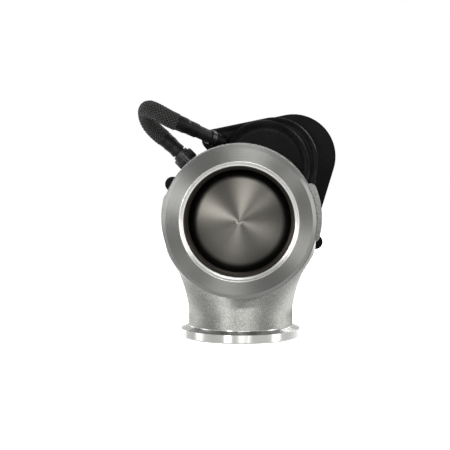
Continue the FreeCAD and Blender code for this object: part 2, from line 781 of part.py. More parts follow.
def idler_gear():
    """Big idler gear, driven by the motor pinion."""
    idler = idler_axis()
    end = IDLER_GEAR_START + IDLER_GEAR_T
    to_motor = heading(idler, MOTOR_AXIS)
    gear = prism(gear_face(MOTOR_MODULE, IDLER_BIG_TEETH, to_motor, idler), IDLER_GEAR_START, end)
    cuts = [rod(IDLER_HUB_R, IDLER_GEAR_START, end, idler)]
    for n in range(IDLER_GEAR_HOLES):
        x, z = polar(IDLER_GEAR_HOLE_CIRCLE_R, 360 * n / IDLER_GEAR_HOLES)
        cuts.append(rod(IDLER_GEAR_HOLE_R, IDLER_GEAR_START, end, (idler[0] + x, idler[1] + z)))
    return gear.cut(cuts)


def idler_bush():
    """Bronze bush that the idler turns on."""
    end = IDLER_GEAR_START + IDLER_GEAR_T
    return ring(IDLER_BUSH_R, IDLER_SHAFT_R + RUNNING_GAP, IDLER_FRONT, end, idler_axis())


def idler_shaft():
    """Fixed steel pin between the housing and the cover."""
    return rod(IDLER_SHAFT_R, CASE_REAR - IDLER_SHAFT_SEAT, COVER_FLOOR + IDLER_SHAFT_END, idler_axis())


def idler_washers():
    """Thrust washers on each side of the idler."""
    rear = IDLER_GEAR_START + IDLER_GEAR_T
    starts = (IDLER_FRONT - END_FLOAT - IDLER_WASHER_T, rear + END_FLOAT)
    return [ring(IDLER_STEP_R, IDLER_SHAFT_R, y, y + IDLER_WASHER_T, idler_axis()) for y in starts]


def ball_circle_r():
    """Radius of the circle through the ball centres."""
    return (NUT_R + BEARING_OUTER_R) / 2


def race_pair(inner):
    """Inner or outer races of both nut bearings, with their ball grooves."""
    races = []
    middle = ball_circle_r()
    for start in (FRONT_BEARING, REAR_BEARING):
        groove = Part.makeTorus(
            middle, BALL_R + GROOVE_GAP, Vector(0, start + BEARING_WIDTH / 2, AXIS_HEIGHT), Vector(0, 1, 0)
        )
        if inner:
            blank = ring(middle - RACE_HALF_GAP, NUT_R, start, start + BEARING_WIDTH)
        else:
            blank = ring(BEARING_OUTER_R, middle + RACE_HALF_GAP, start, start + BEARING_WIDTH)
        races.append(blank.cut(groove))
    return races


def bearing_balls():
    """Balls of both nut bearings."""
    balls = []
    for start in (FRONT_BEARING, REAR_BEARING):
        for n in range(BALL_COUNT):
            x, z = polar(ball_circle_r(), 360 * n / BALL_COUNT)
            balls.append(Part.makeSphere(BALL_R, Vector(x, start + BEARING_WIDTH / 2, AXIS_HEIGHT + z)))
    return balls


# ---- Motor ----


def motor_front():
    """Front face of the motor can."""
    return CASE_FRONT + 4.0


def motor_rear():
    """Rear face of the motor."""
    return CASE_REAR - 0.3


def motor_can():
    """Drawn steel can, closed in front."""
    end = motor_rear() - MOTOR_PLATE_T
    can = rod(MOTOR_R, motor_front(), end, MOTOR_AXIS)
    hollow = rod(MOTOR_R - MOTOR_WALL, motor_front() + MOTOR_WALL, end, MOTOR_AXIS)
    return can.cut(hollow)


def motor_end_plate():
    """Plate that closes the can and carries the rear bush."""
    return ring(MOTOR_R, MOTOR_BUSH_R, motor_rear() - MOTOR_PLATE_T, motor_rear(), MOTOR_AXIS)


def motor_bushes():
    """Bronze bushes at both ends of the motor shaft."""
    hole = MOTOR_SHAFT_R + RUNNING_GAP
    starts = (motor_front() + MOTOR_WALL, motor_rear() - MOTOR_PLATE_T)
    return [ring(MOTOR_BUSH_R, hole, start, start + MOTOR_PLATE_T, MOTOR_AXIS) for start in starts]


def motor_magnets():
    """Four curved magnets inside the can."""
    outer = MOTOR_R - MOTOR_WALL
    start = motor_front() + 4.0
    end = motor_rear() - 7.0
    sleeve = ring(outer, outer - MAGNET_T, start, end, MOTOR_AXIS)
    magnets = []
    for n in range(MOTOR_POLES):
        x, z = polar(outer * 1.5, 360 * n / MOTOR_POLES)
        block = rod(outer * 1.02, start, end, (MOTOR_AXIS[0] + x, MOTOR_AXIS[1] + z))
        magnets.append(sleeve.common(block))
    return magnets


def motor_rotor():
    """Laminated rotor with winding slots."""
    start = motor_front() + 4.5
    end = motor_rear() - 7.5
    core = rod(ROTOR_R, start, end, MOTOR_AXIS)
    cuts = [rod(MOTOR_SHAFT_R, start, end, MOTOR_AXIS)]
    for n in range(ROTOR_SLOTS):
        x, z = polar(ROTOR_R - ROTOR_SLOT_INSET, 360 * n / ROTOR_SLOTS)
        cuts.append(rod(ROTOR_SLOT_R, start, end, (MOTOR_AXIS[0] + x, MOTOR_AXIS[1] + z)))
    return core.cut(cuts)


def motor_commutator():
    """Copper commutator behind the rotor."""
    return ring(MOTOR_BUSH_R, MOTOR_SHAFT_R, motor_rear() - 7.2, motor_rear() - 3.0, MOTOR_AXIS)


def motor_brushes():
    """Two carbon brushes that run on the commutator."""
    start = (MOTOR_AXIS[0], motor_rear() - 5.0, AXIS_HEIGHT + MOTOR_AXIS[1])
    near = MOTOR_BUSH_R + BRUSH_GAP
    return [bar(BRUSH_R, start, way, near, near + BRUSH_LENGTH) for way in ((1, 0, 0), (-1, 0, 0))]


def motor_shaft():
    """Rotor shaft, with the pinion on its rear end."""
    end = IDLER_GEAR_START + IDLER_GEAR_T + PINION_OVERHANG
    return rod(MOTOR_SHAFT_R, motor_front() + MOTOR_WALL + END_FLOAT, end, MOTOR_AXIS)


def motor_pinion():
    """Pinion pressed on the motor shaft."""
    start = IDLER_GEAR_START - PINION_OVERHANG
    end = IDLER_GEAR_START + IDLER_GEAR_T + PINION_OVERHANG
    phase = heading(idler_axis(), MOTOR_AXIS) + 180 + 180 / PINION_TEETH
    teeth = prism(gear_face(MOTOR_MODULE, PINION_TEETH, phase, MOTOR_AXIS), start, end)
    return teeth.cut(rod(MOTOR_SHAFT_R, start, end, MOTOR_AXIS))


# ---- Gearcase ----


def rim_screw_places():
    """Cover screws round the edge: in the ears, in the corner and round the motor lobe."""
    lobe = COVER_LOBE_R - EAR_R
    around = [(COVER_LOBE[0] + polar(lobe, a)[0], COVER_LOBE[1] + polar(lobe, a)[1]) for a in (-12, 38, 88)]
    return around + [(CASE_CORNER[0] + 0.8, CASE_CORNER[1] - 0.6)]


def ear_places():
    """Cover screws in the ears."""
    return [polar(EAR_CIRCLE_R, angle) for angle in EAR_ANGLES]


def cover_shape(inset, y_start, y_end):
    """Glove-shaped outline of the cover, between two y values, inset by a wall."""
    glove = prism(capsule((0, 0), COVER_ROUND_R - inset, COVER_LOBE, COVER_LOBE_R - inset), y_start, y_end)
    thumb = capsule(CASE_CORNER, CASE_CORNER_R - inset, COVER_LOBE, COVER_LOBE_R - inset)
    return [glove, prism(thumb, y_start, y_end)]


def ear_bars(y_start, y_end):
    """Round screw ears, each tied to the case by a short web."""
    bars = []
    for angle in EAR_ANGLES:
        web = capsule(polar(EAR_CIRCLE_R - EAR_WEB, angle), EAR_R + 3, polar(EAR_CIRCLE_R, angle), EAR_R)
        bars.append(prism(web, y_start, y_end))
    return bars


def gearcase_housing():
    """Die-cast housing: motor lobe and shaft supports in front, glove-shaped flange behind."""
    idler = idler_axis()
    flange_start = CASE_REAR - GEARCASE_FLANGE_T
    body_start = CASE_FRONT + CASE_BODY_START
    palm = prism(capsule((0, 0), CASE_ROUND_R, CASE_SHOULDER, CASE_SHOULDER_R), body_start, CASE_REAR)
    arm = prism(capsule(CASE_CORNER, CASE_CORNER_R, CASE_SHOULDER, CASE_SHOULDER_R), body_start, CASE_REAR)
    lobe_start = CASE_FRONT + MOTOR_LOBE_START
    lobe = rod(MOTOR_LOBE_R, lobe_start, CASE_REAR, MOTOR_AXIS)
    solids = [
        rounded_end(palm, body_start, CASE_FILLET),
        rounded_end(arm, body_start, CASE_CORNER_R - 2),
        rounded_end(lobe, lobe_start, MOTOR_LOBE_FILLET),
        rod(COOLER_R, CASE_FRONT, CASE_REAR),
        rod(NECK_RING_R, CASE_FRONT + 3, CASE_REAR),
    ]
    solids += cover_shape(0, flange_start, CASE_REAR) + ear_bars(flange_start, CASE_REAR)
    solids.append(rod(BEARING_BOSS_R, CASE_REAR - 1, FRONT_BEARING + BEARING_WIDTH))
    boss_end = IDLER_FRONT - 2 * END_FLOAT - IDLER_WASHER_T
    solids.append(rod(IDLER_STEP_R, CASE_REAR - 1, boss_end, idler))
    solids.append(bar(GLAND_BOSS_R, lifted(GLAND_START), GLAND_DIRECTION, 0, GLAND_BOSS_LENGTH))
    solids.append(bar(SOCKET_BOSS_R, socket_start(), socket_direction(), 0, SOCKET_BOSS_LENGTH))
    body = joined(*solids)
    cuts = [
        rod(BUSH_R, CASE_FRONT - 1, BUSH_REAR),
        rod(SLEEVE_R + 1.5, BUSH_REAR, FRONT_BEARING),
        rod(BEARING_OUTER_R, FRONT_BEARING, FRONT_BEARING + BEARING_WIDTH),
        rod(MOTOR_R, motor_front(), CASE_REAR, MOTOR_AXIS),
        rod(IDLER_SHAFT_R, CASE_REAR - IDLER_SHAFT_SEAT, NUT_GEAR_START, idler),
    ]
    for place in case_bolt_places():
        cuts.append(rod(M5_R + HOLE_GAP, CASE_FRONT, CASE_REAR, place))
        cuts.append(rod(M5_HEAD_R + HOLE_GAP, CASE_REAR - CASE_BOLT_SEAT, CASE_REAR, place))
    for place in ear_places() + rim_screw_places():
        cuts.append(rod(M4_R, flange_start + 0.6, CASE_REAR, place))
    for place in board_screw_places():
        cuts.append(rod(M3_R, CASE_REAR - STANDOFF_BITE - 0.5, CASE_REAR, place))
    return body.cut(cuts)


def gearcase_bolts():
    """Long bolts from inside the gearcase into the cooling housing."""
    seat = CASE_REAR - CASE_BOLT_SEAT
    tip = COOLER_REAR - CASE_BOLT_BITE
    return [screw(M5_R, M5_HEAD_R, M5_HEAD_H, seat, tip, place) for place in case_bolt_places()]


def cover_gasket():
    """Rubber gasket between the gearcase and its cover."""
    sheet = joined(*(cover_shape(0, CASE_REAR, COVER_FRONT) + ear_bars(CASE_REAR, COVER_FRONT)))
    window = joined(*cover_shape(COVER_WALL, CASE_REAR, COVER_FRONT))
    pads = [rod(SCREW_POST_R, CASE_REAR, COVER_FRONT, place) for place in rim_screw_places()]
    holes = [rod(M4_R + HOLE_GAP, CASE_REAR, COVER_FRONT, p) for p in ear_places() + rim_screw_places()]
    return sheet.cut(window.cut(pads)).cut(holes)


def cover_ribs():
    """Low ribs that run out from the sensor cap's seat over the cover's rear face."""
    ribs = []
    for angle in RIB_ANGLES:
        inner = polar(RIB_START_R, angle)
        rib = capsule(inner, RIB_HALF_WIDTH + 0.4, polar(RIB_END_R, angle), RIB_HALF_WIDTH)
        ribs.append(prism(rib, COVER_REAR - 1, COVER_REAR + RIB_HEIGHT))
    return ribs


def gear_pad():
    """Round raised pad over the motor pinion."""
    end = COVER_REAR + PAD_HEIGHT
    return rounded_end(rod(PAD_R, COVER_REAR - 1, end, MOTOR_AXIS), end, PAD_FILLET)


def gearcase_cover():
    """Glove-shaped cover over the gears, with the rear bearing seat and the sensor cap's seat."""
    idler = idler_axis()
    shells = [rounded_end(s, COVER_REAR, COVER_FILLET) for s in cover_shape(0, COVER_FRONT, COVER_REAR)]
    seat = rod(CAP_R, COVER_REAR - 1, CAP_FRONT)
    forms = shells + ear_bars(COVER_FRONT, COVER_FRONT + EAR_HEIGHT) + cover_ribs()
    outer = joined(*forms, seat, gear_pad())
    cavity = joined(*cover_shape(COVER_WALL, COVER_FRONT, COVER_FLOOR))
    posts = [rod(SCREW_POST_R, COVER_FRONT, COVER_FLOOR, place) for place in rim_screw_places()]
    posts.append(rod(BEARING_BOSS_R, REAR_BEARING, COVER_FLOOR))
    post_start = IDLER_GEAR_START + IDLER_GEAR_T + 2 * END_FLOAT + IDLER_WASHER_T
    posts.append(rod(IDLER_STEP_R, post_start, COVER_FLOOR, idler))
    cover = outer.cut(cavity.cut(posts))
    cuts = [
        rod(BEARING_OUTER_R, REAR_BEARING, REAR_BEARING + BEARING_WIDTH),
        rod(CAP_BORE_R, REAR_BEARING, CAP_FRONT),
        rod(IDLER_SHAFT_R, COVER_FLOOR - 5, COVER_FLOOR + IDLER_SHAFT_END, idler),
    ]
    cuts += [rod(M4_R + HOLE_GAP, COVER_FRONT, COVER_REAR, p) for p in ear_places() + rim_screw_places()]
    hole_end = CAP_FRONT - CAP_SCREW_BITE - 1
    cuts += [rod(M3_R, hole_end, CAP_FRONT, place) for place in cap_screw_places()]
    spot_face = COVER_FRONT + EAR_HEIGHT
    cuts += [rod(M4_HEAD_R + HOLE_GAP, spot_face, COVER_REAR, place) for place in ear_places()]
    return cover.cut(cuts)


def cover_screws():
    """Socket-head screws through the cover into the housing's flange."""
    tip = CASE_REAR - GEARCASE_FLANGE_T + 1.0
    seats = [(COVER_FRONT + EAR_HEIGHT, place) for place in ear_places()]
    seats += [(COVER_REAR, place) for place in rim_screw_places()]
    return [screw(M4_R, M4_HEAD_R, M4_HEAD_H, seat, tip, place) for seat, place in seats]


def cap_screw_places():
    """Three screws round the sensor cap."""
    return [polar(CAP_SCREW_CIRCLE_R, 90 + 120 * n) for n in range(3)]


def sensor_cap():
    """Moulded cap over the screw's end that holds the position sensor."""
    dome = rounded_end(rod(CAP_R, CAP_FRONT, CAP_REAR), CAP_REAR, CAP_FILLET)
    cuts = [rod(CAP_BORE_R, CAP_FRONT, CAP_REAR - CAP_WALL), sensor_cap_seal()]
    for place in cap_screw_places():
        cuts.append(rod(M3_R + HOLE_GAP, CAP_FRONT, CAP_REAR, place))
        cuts.append(rod(CAP_SCREW_HEAD_R + HOLE_GAP, CAP_REAR - CAP_SCREW_SEAT, CAP_REAR, place))
    return dome.cut(cuts)


def sensor_cap_seal():
    """Rubber ring in the cap's groove."""
    return ring(CAP_SEAL_R + CAP_SEAL_T, CAP_SEAL_R - CAP_SEAL_T, CAP_FRONT, CAP_FRONT + CAP_SEAL_DEPTH)


def sensor_cap_screws():
    """Screws that hold the cap to the cover."""
    seat = CAP_REAR - CAP_SCREW_SEAT
    tip = CAP_FRONT - CAP_SCREW_BITE
    return [screw(M3_R, CAP_SCREW_HEAD_R, CAP_SCREW_HEAD_H, seat, tip, p) for p in cap_screw_places()]


def position_sensor():
    """Round sensor board at the bottom of the cap."""
    end = CAP_REAR - CAP_WALL
    return rod(CAP_BORE_R, end - BOARD_T, end)


# ---- Control board ----


def board_screw_places():
    """Both upper corners of the control board."""
    up = BOARD_Z[1] - STANDOFF_R
    return [(BOARD_X[0] + STANDOFF_R, up), (BOARD_X[1] - STANDOFF_R, up)]


def control_board():
    """Driver board beside the motor, on two standoff screws."""
    start = CASE_REAR + BOARD_STANDOFF
    board = Part.makeBox(
        BOARD_X[1] - BOARD_X[0], BOARD_T, BOARD_Z[1] - BOARD_Z[0],
        Vector(BOARD_X[0], start, AXIS_HEIGHT + BOARD_Z[0]),
    )
    return board.cut([rod(M3_R, start, start + BOARD_T, place) for place in board_screw_places()])


def board_standoffs():
    """Stepped screws that carry the control board."""
    base = CASE_REAR + BOARD_STANDOFF
    pillars = []
    for place in board_screw_places():
        foot = rod(M3_R, CASE_REAR - STANDOFF_BITE, base + BOARD_T, place)
        post = rod(STANDOFF_R, CASE_REAR, base, place)
        head = rod(STANDOFF_R, base + BOARD_T, base + BOARD_T + STANDOFF_HEAD_H, place)
        pillars.append(joined(foot, post, head))
    return pillars


def board_components():
    """Driver chip, two capacitors and a plug on the control board."""
    top = CASE_REAR + BOARD_STANDOFF + BOARD_T
    middle = ((BOARD_X[0] + BOARD_X[1]) / 2, (BOARD_Z[0] + BOARD_Z[1]) / 2)
    chip = Part.makeBox(6, 1.2, 6, Vector(middle[0] - 3, top, AXIS_HEIGHT + middle[1] - 3))
    plug = Part.makeBox(4, 5, 9, Vector(BOARD_X[0] + 0.5, top, AXIS_HEIGHT + BOARD_Z[0] + 1))
    capacitors = [rod(2.4, top, top + 7, (middle[0] + 6.3, middle[1] + up)) for up in (-5.5, 0.0)]
    return [chip, plug] + capacitors


# ---- Lead ----


def lifted(point):
    """Point given from the valve axis, in the part's own frame."""
    return point[0], point[1], point[2] + AXIS_HEIGHT


def socket_direction():
    """Way out of the connector socket."""
    x, z = polar(1.0, SOCKET_ANGLE)
    return x, 0, z


def socket_start():
    """Start of the connector socket, inside the case wall."""
    x, z = polar(SOCKET_START_R, SOCKET_ANGLE)
    return x, SOCKET_Y, AXIS_HEIGHT + z


def lead_route():
    """Points that the lead follows, from the gland's mouth to the connector's mouth."""
    gland = Vector(*lifted(GLAND_START)) + Vector(*GLAND_DIRECTION).normalize() * (GLAND_REACH + LEAD_END_GAP)
    plug = Vector(*socket_start()) + Vector(*socket_direction()) * (SOCKET_REACH + LEAD_END_GAP)
    return [gland] + [Vector(*lifted(p)) for p in LEAD_POINTS] + [plug]


def lead_edges():
    """Straight runs joined by arcs that touch them; prints each arc's radius."""
    route = lead_route()
    edges = []
    here = route[0]
    for before, corner, after in zip(route, route[1:], route[2:]):
        run_in = (corner - before).Length
        run_out = (after - corner).Length
        way_in = (corner - before).normalize()
        way_out = (after - corner).normalize()
        half_turn = way_in.getAngle(way_out) / 2
        cut_back = 0.45 * min(run_in, run_out)
        radius = cut_back / math.tan(half_turn)
        print(f"lead arc radius {radius:.1f} mm, turn {math.degrees(2 * half_turn):.0f} degrees")
        start = corner - way_in * cut_back
        end = corner + way_out * cut_back
        inward = (way_out - way_in).normalize()
        middle = corner + inward * (radius / math.cos(half_turn) - radius)
        edges.append(Part.LineSegment(here, start).toShape())
        edges.append(Part.Arc(start, middle, end).toShape())
        here = end
    edges.append(Part.LineSegment(here, route[-1]).toShape())
    return edges


def swept(edges, diameter):
    """Round bar along a chain of edges."""
    path = Part.Wire(edges)
    start = edges[0].valueAt(edges[0].FirstParameter)
    way = edges[0].tangentAt(edges[0].FirstParameter)
    circle = Part.Wire([Part.makeCircle(diameter / 2, start, way)])
    return path.makePipeShell([circle], True, True)


def actuator_lead():
    """Jacketed cable from the gland to the connector."""
    return swept(lead_edges(), LEAD_D)


def lead_braid():
    """Braided sleeve over the middle of the lead."""
    middle = lead_edges()[3:-2]
    return swept(middle, LEAD_SLEEVE_D).cut(swept(middle, LEAD_D + 2 * SLEEVE_GAP))


def lead_boots():
    """Heat-shrink boots over both ends of the sleeve; the second one runs on to the connector."""
    edges = lead_edges()
    boots = []
    for part in (edges[1:3], edges[-2:]):
        boots.append(swept(part, BOOT_D).cut(swept(part, LEAD_D + 2 * SLEEVE_GAP)))
    return boots


def cable_gland():
    """Body of the cable gland, screwed into its boss."""
    front = GLAND_BOSS_LENGTH + GLAND_BODY_LENGTH
    body = bar(GLAND_BODY_R, lifted(GLAND_START), GLAND_DIRECTION, GLAND_BOSS_LENGTH, front)
    tip = front + GLAND_SPIGOT_LENGTH
    spigot = bar(GLAND_SPIGOT_R, lifted(GLAND_START), GLAND_DIRECTION, GLAND_BOSS_LENGTH, tip)
    return joined(body, spigot)


def gland_nut():
    """Domed nut that squeezes the gland's seal on the lead."""
    front = GLAND_BOSS_LENGTH + GLAND_BODY_LENGTH
    nut = bar(GLAND_BOSS_R, lifted(GLAND_START), GLAND_DIRECTION, front, GLAND_REACH)
    tip = front + GLAND_SPIGOT_LENGTH
    return nut.cut(bar(GLAND_SPIGOT_R, lifted(GLAND_START), GLAND_DIRECTION, front, tip))


def lead_connector():
    """Round connector body in the housing's socket."""
    return bar(CONNECTOR_R, socket_start(), socket_direction(), SOCKET_BOSS_LENGTH, SOCKET_REACH)


def connector_collar():
    """Knurled collar that locks the connector."""
    end = SOCKET_REACH - COLLAR_END_INSET
    collar = bar(COLLAR_R, socket_start(), socket_direction(), COLLAR_START, end)
    return collar.cut(bar(CONNECTOR_R, socket_start(), socket_direction(), COLLAR_START, end))


PIECES = {
    "valve_body": valve_body,
    "valve_seat": valve_seat,
    "poppet_valve": poppet_valve,
    "stem_guide": stem_guide,
    "body_gasket": body_gasket,
    "body_bolts": body_bolts,
    "cooling_housing": cooling_housing,
    "port_plugs": port_plugs,
    "port_washers": port_washers,
    "stem_seals": stem_seals,
    "seal_retainer": seal_retainer,
    "gearcase_gasket": gearcase_gasket,
    "lead_screw": lead_screw,
    "coupling_pin": coupling_pin,
    "anti_rotation_bush": anti_rotation_bush,
    "sensor_magnet": sensor_magnet,
    "drive_nut": drive_nut,
    "nut_gear": nut_gear,
    "bearing_inner_races": lambda: race_pair(True),
    "bearing_outer_races": lambda: race_pair(False),
    "bearing_balls": bearing_balls,
    "idler_pinion": idler_pinion,
    "idler_gear": idler_gear,
    "idler_bush": idler_bush,
    "idler_shaft": idler_shaft,
    "idler_washers": idler_washers,
    "motor_can": motor_can,
    "motor_end_plate": motor_end_plate,
    "motor_bushes": motor_bushes,
    "motor_magnets": motor_magnets,
    "motor_rotor": motor_rotor,
    "motor_commutator": motor_commutator,
    "motor_brushes": motor_brushes,
    "motor_shaft": motor_shaft,
    "motor_pinion": motor_pinion,
    "gearcase_housing": gearcase_housing,
    "gearcase_bolts": gearcase_bolts,
    "cover_gasket": cover_gasket,
    "gearcase_cover": gearcase_cover,
    "cover_screws": cover_screws,
    "sensor_cap": sensor_cap,
    "sensor_cap_seal": sensor_cap_seal,
    "sensor_cap_screws": sensor_cap_screws,
    "position_sensor": position_sensor,
    "control_board": control_board,
    "board_standoffs": board_standoffs,
    "board_components": board_components,
    "cable_gland": cable_gland,
    "gland_nut": gland_nut,
    "lead_connector": lead_connector,
    "connector_collar": connector_collar,
    "actuator_lead": actuator_lead,
    "lead_braid": lead_braid,
    "lead_boots": lead_boots,
}


def write_pieces():
    """Writes every piece, and prints its solids, volume and whether it is valid."""
    os.makedirs("parts", exist_ok=True)
    for name, make in PIECES.items():
        made = make()
        shape = Part.makeCompound(made) if isinstance(made, list) else made
        solids = shape.Solids
        if len(solids) == 1:
            shape = solids[0]
        shape.exportStep(f"parts/{name}.step")
        print(f"{name}: {len(solids)} solids, {shape.Volume:.0f} mm3, valid {shape.isValid()}")


write_pieces()
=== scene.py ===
import math

import bmesh
import bpy
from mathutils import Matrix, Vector


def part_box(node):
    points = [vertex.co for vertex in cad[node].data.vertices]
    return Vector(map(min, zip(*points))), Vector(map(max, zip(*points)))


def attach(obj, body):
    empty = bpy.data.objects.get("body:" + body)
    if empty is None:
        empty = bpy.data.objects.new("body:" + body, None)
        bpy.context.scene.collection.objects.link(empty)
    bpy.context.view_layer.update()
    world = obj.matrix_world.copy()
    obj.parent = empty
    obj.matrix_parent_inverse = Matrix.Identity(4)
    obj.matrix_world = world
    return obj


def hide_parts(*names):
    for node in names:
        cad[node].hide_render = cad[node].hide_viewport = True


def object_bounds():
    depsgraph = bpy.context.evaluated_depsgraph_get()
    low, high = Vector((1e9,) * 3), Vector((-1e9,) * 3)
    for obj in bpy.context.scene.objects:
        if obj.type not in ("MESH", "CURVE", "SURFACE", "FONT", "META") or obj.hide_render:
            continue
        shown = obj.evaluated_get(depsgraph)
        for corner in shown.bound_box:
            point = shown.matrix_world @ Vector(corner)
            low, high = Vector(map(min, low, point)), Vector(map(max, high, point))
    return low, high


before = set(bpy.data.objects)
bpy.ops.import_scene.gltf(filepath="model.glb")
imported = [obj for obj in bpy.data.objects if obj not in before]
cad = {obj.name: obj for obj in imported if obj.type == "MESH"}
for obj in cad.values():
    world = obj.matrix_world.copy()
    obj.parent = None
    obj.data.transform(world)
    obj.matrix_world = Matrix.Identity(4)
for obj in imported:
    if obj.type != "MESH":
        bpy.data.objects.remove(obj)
cad_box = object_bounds()
scene = bpy.context.scene


# ---- The studio ----
# A plain pale floor under the outlet flange and a white surround, with a tall soft lamp on each side,
# three smaller ones in front, one straight above and two behind.
# The lens looks at the inlet flange a little from above.

EYE = Vector((0.011, -0.611, 0.091))
LOOK = Vector((-0.03376, 1.0, -0.037))
LENS = 79.15
SURROUND_LIGHT = 0.22
FLOOR_GLOW = 0.88
FLOOR_HALF = 6.0
FLOOR_GAP = 0.0002


def linear(hex_colour):
    """A written sRGB colour as the linear values that a shader takes."""
    channels = [int(hex_colour[at:at + 2], 16) / 255 for at in (1, 3, 5)]
    return [c / 12.92 if c <= 0.04045 else ((c + 0.055) / 1.055) ** 2.4 for c in channels] + [1.0]


def node(tree, kind, inputs=None, stops=None, **settings):
    """Adds a node: its own settings, its colour stops if it has any, and its values or links."""
    made = tree.nodes.new(kind)
    for name, value in settings.items():
        setattr(made, name, value)
    for place, (at, shade) in enumerate(stops or ()):
        while len(made.color_ramp.elements) <= place:
            made.color_ramp.elements.new(1.0)
        made.color_ramp.elements[place].position = at
        made.color_ramp.elements[place].color = linear(shade)
    for key, value in (inputs or {}).items():
        if isinstance(value, bpy.types.NodeSocket):
            tree.links.new(value, made.inputs[key])
        else:
            made.inputs[key].default_value = value
    return made


def seen_ray(tree):
    """One for rays that show the surround: straight, mirrored or through glass."""
    path = node(tree, "ShaderNodeLightPath")
    mirrored = node(tree, "ShaderNodeMath", {0: path.outputs["Is Camera Ray"],
                                             1: path.outputs["Is Glossy Ray"]}, operation="MAXIMUM")
    seen = node(tree, "ShaderNodeMath", {0: mirrored.outputs[0], 1: path.outputs["Is Transmission Ray"]},
                operation="MAXIMUM")
    return seen.outputs[0]


def material_of(name):
    """New empty material and its node tree."""
    made = bpy.data.materials.new(name)
    made.use_nodes = True
    made.node_tree.nodes.clear()
    return made, made.node_tree


def lamp(name, place, target, width, height, watts):
    """Rectangular soft lamp that faces a point."""
    light = bpy.data.lights.new(name, "AREA")
    light.shape = "RECTANGLE"
    light.size = width
    light.size_y = height
    light.energy = watts
    holder = bpy.data.objects.new(name, light)
    scene.collection.objects.link(holder)
    holder.location = place
    holder.rotation_euler = (Vector(target) - Vector(place)).to_track_quat("-Z", "Y").to_euler()


world = bpy.data.worlds.new("studio_surround")
world.use_nodes = True
surround = world.node_tree
surround.nodes.clear()
scene.world = world
dim = node(surround, "ShaderNodeBackground", {"Color": linear("#ffffff"), "Strength": SURROUND_LIGHT})
white = node(surround, "ShaderNodeBackground", {"Color": linear("#ffffff"), "Strength": 1.0})
either = node(surround, "ShaderNodeMixShader", {0: seen_ray(surround), 1: dim.outputs[0],
                                                2: white.outputs[0]})
node(surround, "ShaderNodeOutputWorld", {"Surface": either.outputs[0]})

painted_floor, floor_tree = material_of("matt_white_paint")
paint = node(floor_tree, "ShaderNodeBsdfDiffuse", {"Color": linear("#f4f4f4")})
glow = node(floor_tree, "ShaderNodeEmission", {"Color": linear("#ffffff"), "Strength": FLOOR_GLOW})
lit = node(floor_tree, "ShaderNodeAddShader", {0: paint.outputs[0], 1: glow.outputs[0]})
floor_mix = node(floor_tree, "ShaderNodeMixShader", {0: seen_ray(floor_tree), 1: paint.outputs[0],
                                                     2: lit.outputs[0]})
node(floor_tree, "ShaderNodeOutputMaterial", {"Surface": floor_mix.outputs[0]})

floor_mesh = bpy.data.meshes.new("studio_floor")
floor_level = cad_box[0][2] - FLOOR_GAP
floor_mesh.from_pydata(
    [(x * FLOOR_HALF, y * FLOOR_HALF, floor_level) for x, y in ((-1, -1), (1, -1), (1, 1), (-1, 1))],
    [],
    [(0, 1, 2, 3)],
)
floor_mesh.materials.append(painted_floor)
studio_floor = bpy.data.objects.new("studio_floor", floor_mesh)
scene.collection.objects.link(studio_floor)

middle = (0.0, 0.03, 0.07)
lamp("left_side_lamp", (-0.95, -0.10, 0.30), middle, 0.30, 0.8, 10.5)
lamp("right_side_lamp", (0.92, -0.28, 0.22), middle, 0.30, 0.8, 15.0)
lamp("upper_left_lamp", (-0.42, -1.00, 0.20), middle, 0.16, 0.22, 12.5)
lamp("overhead_lamp", (0.06, -1.00, 0.46), middle, 0.22, 0.09, 11.0)
lamp("upper_right_lamp", (0.30, -1.00, 0.30), middle, 0.05, 0.07, 3.0)
lamp("top_lamp", (0.0, 0.15, 1.05), middle, 0.6, 0.6, 2.6)
lamp("rear_lamp", (0.75, 0.85, 0.60), middle, 0.45, 0.6, 14.0)
lamp("low_rear_lamp", (-0.80, 0.80, 0.25), middle, 0.25, 0.5, 6.0)

eye = bpy.data.objects.new("studio_camera", bpy.data.cameras.new("studio_camera"))
scene.collection.objects.link(eye)
eye.location = EYE
eye.rotation_euler = LOOK.to_track_quat("-Z", "Y").to_euler()
eye.data.lens = LENS
eye.data.clip_start = 0.01
scene.camera = eye
scene.view_settings.view_transform = "Standard"


# ---- Actuator lead ----
# A jacketed cable that leaves the gland, turns back on itself and ends in the round connector.
# Its black jacket shows only at the two ends, under the braided sleeve and the heat-shrink boots.

LEAD_D = 0.0086
# Control points of the lead's smooth line, from the gland to the connector.
LEAD_ROUTE = (
    (-0.022558, 0.061806, 0.126219),
    (-0.0384, 0.0503, 0.1331),
    (-0.0479, 0.0480, 0.1369),
    (-0.0567, 0.0500, 0.1422),
    (-0.0631, 0.0560, 0.1451),
    (-0.0660, 0.0650, 0.1431),
    (-0.0653, 0.0725, 0.1369),
    (-0.0602, 0.0765, 0.1302),
    (-0.0509, 0.0770, 0.1229),
    (-0.043628, 0.0770, 0.115628),
)


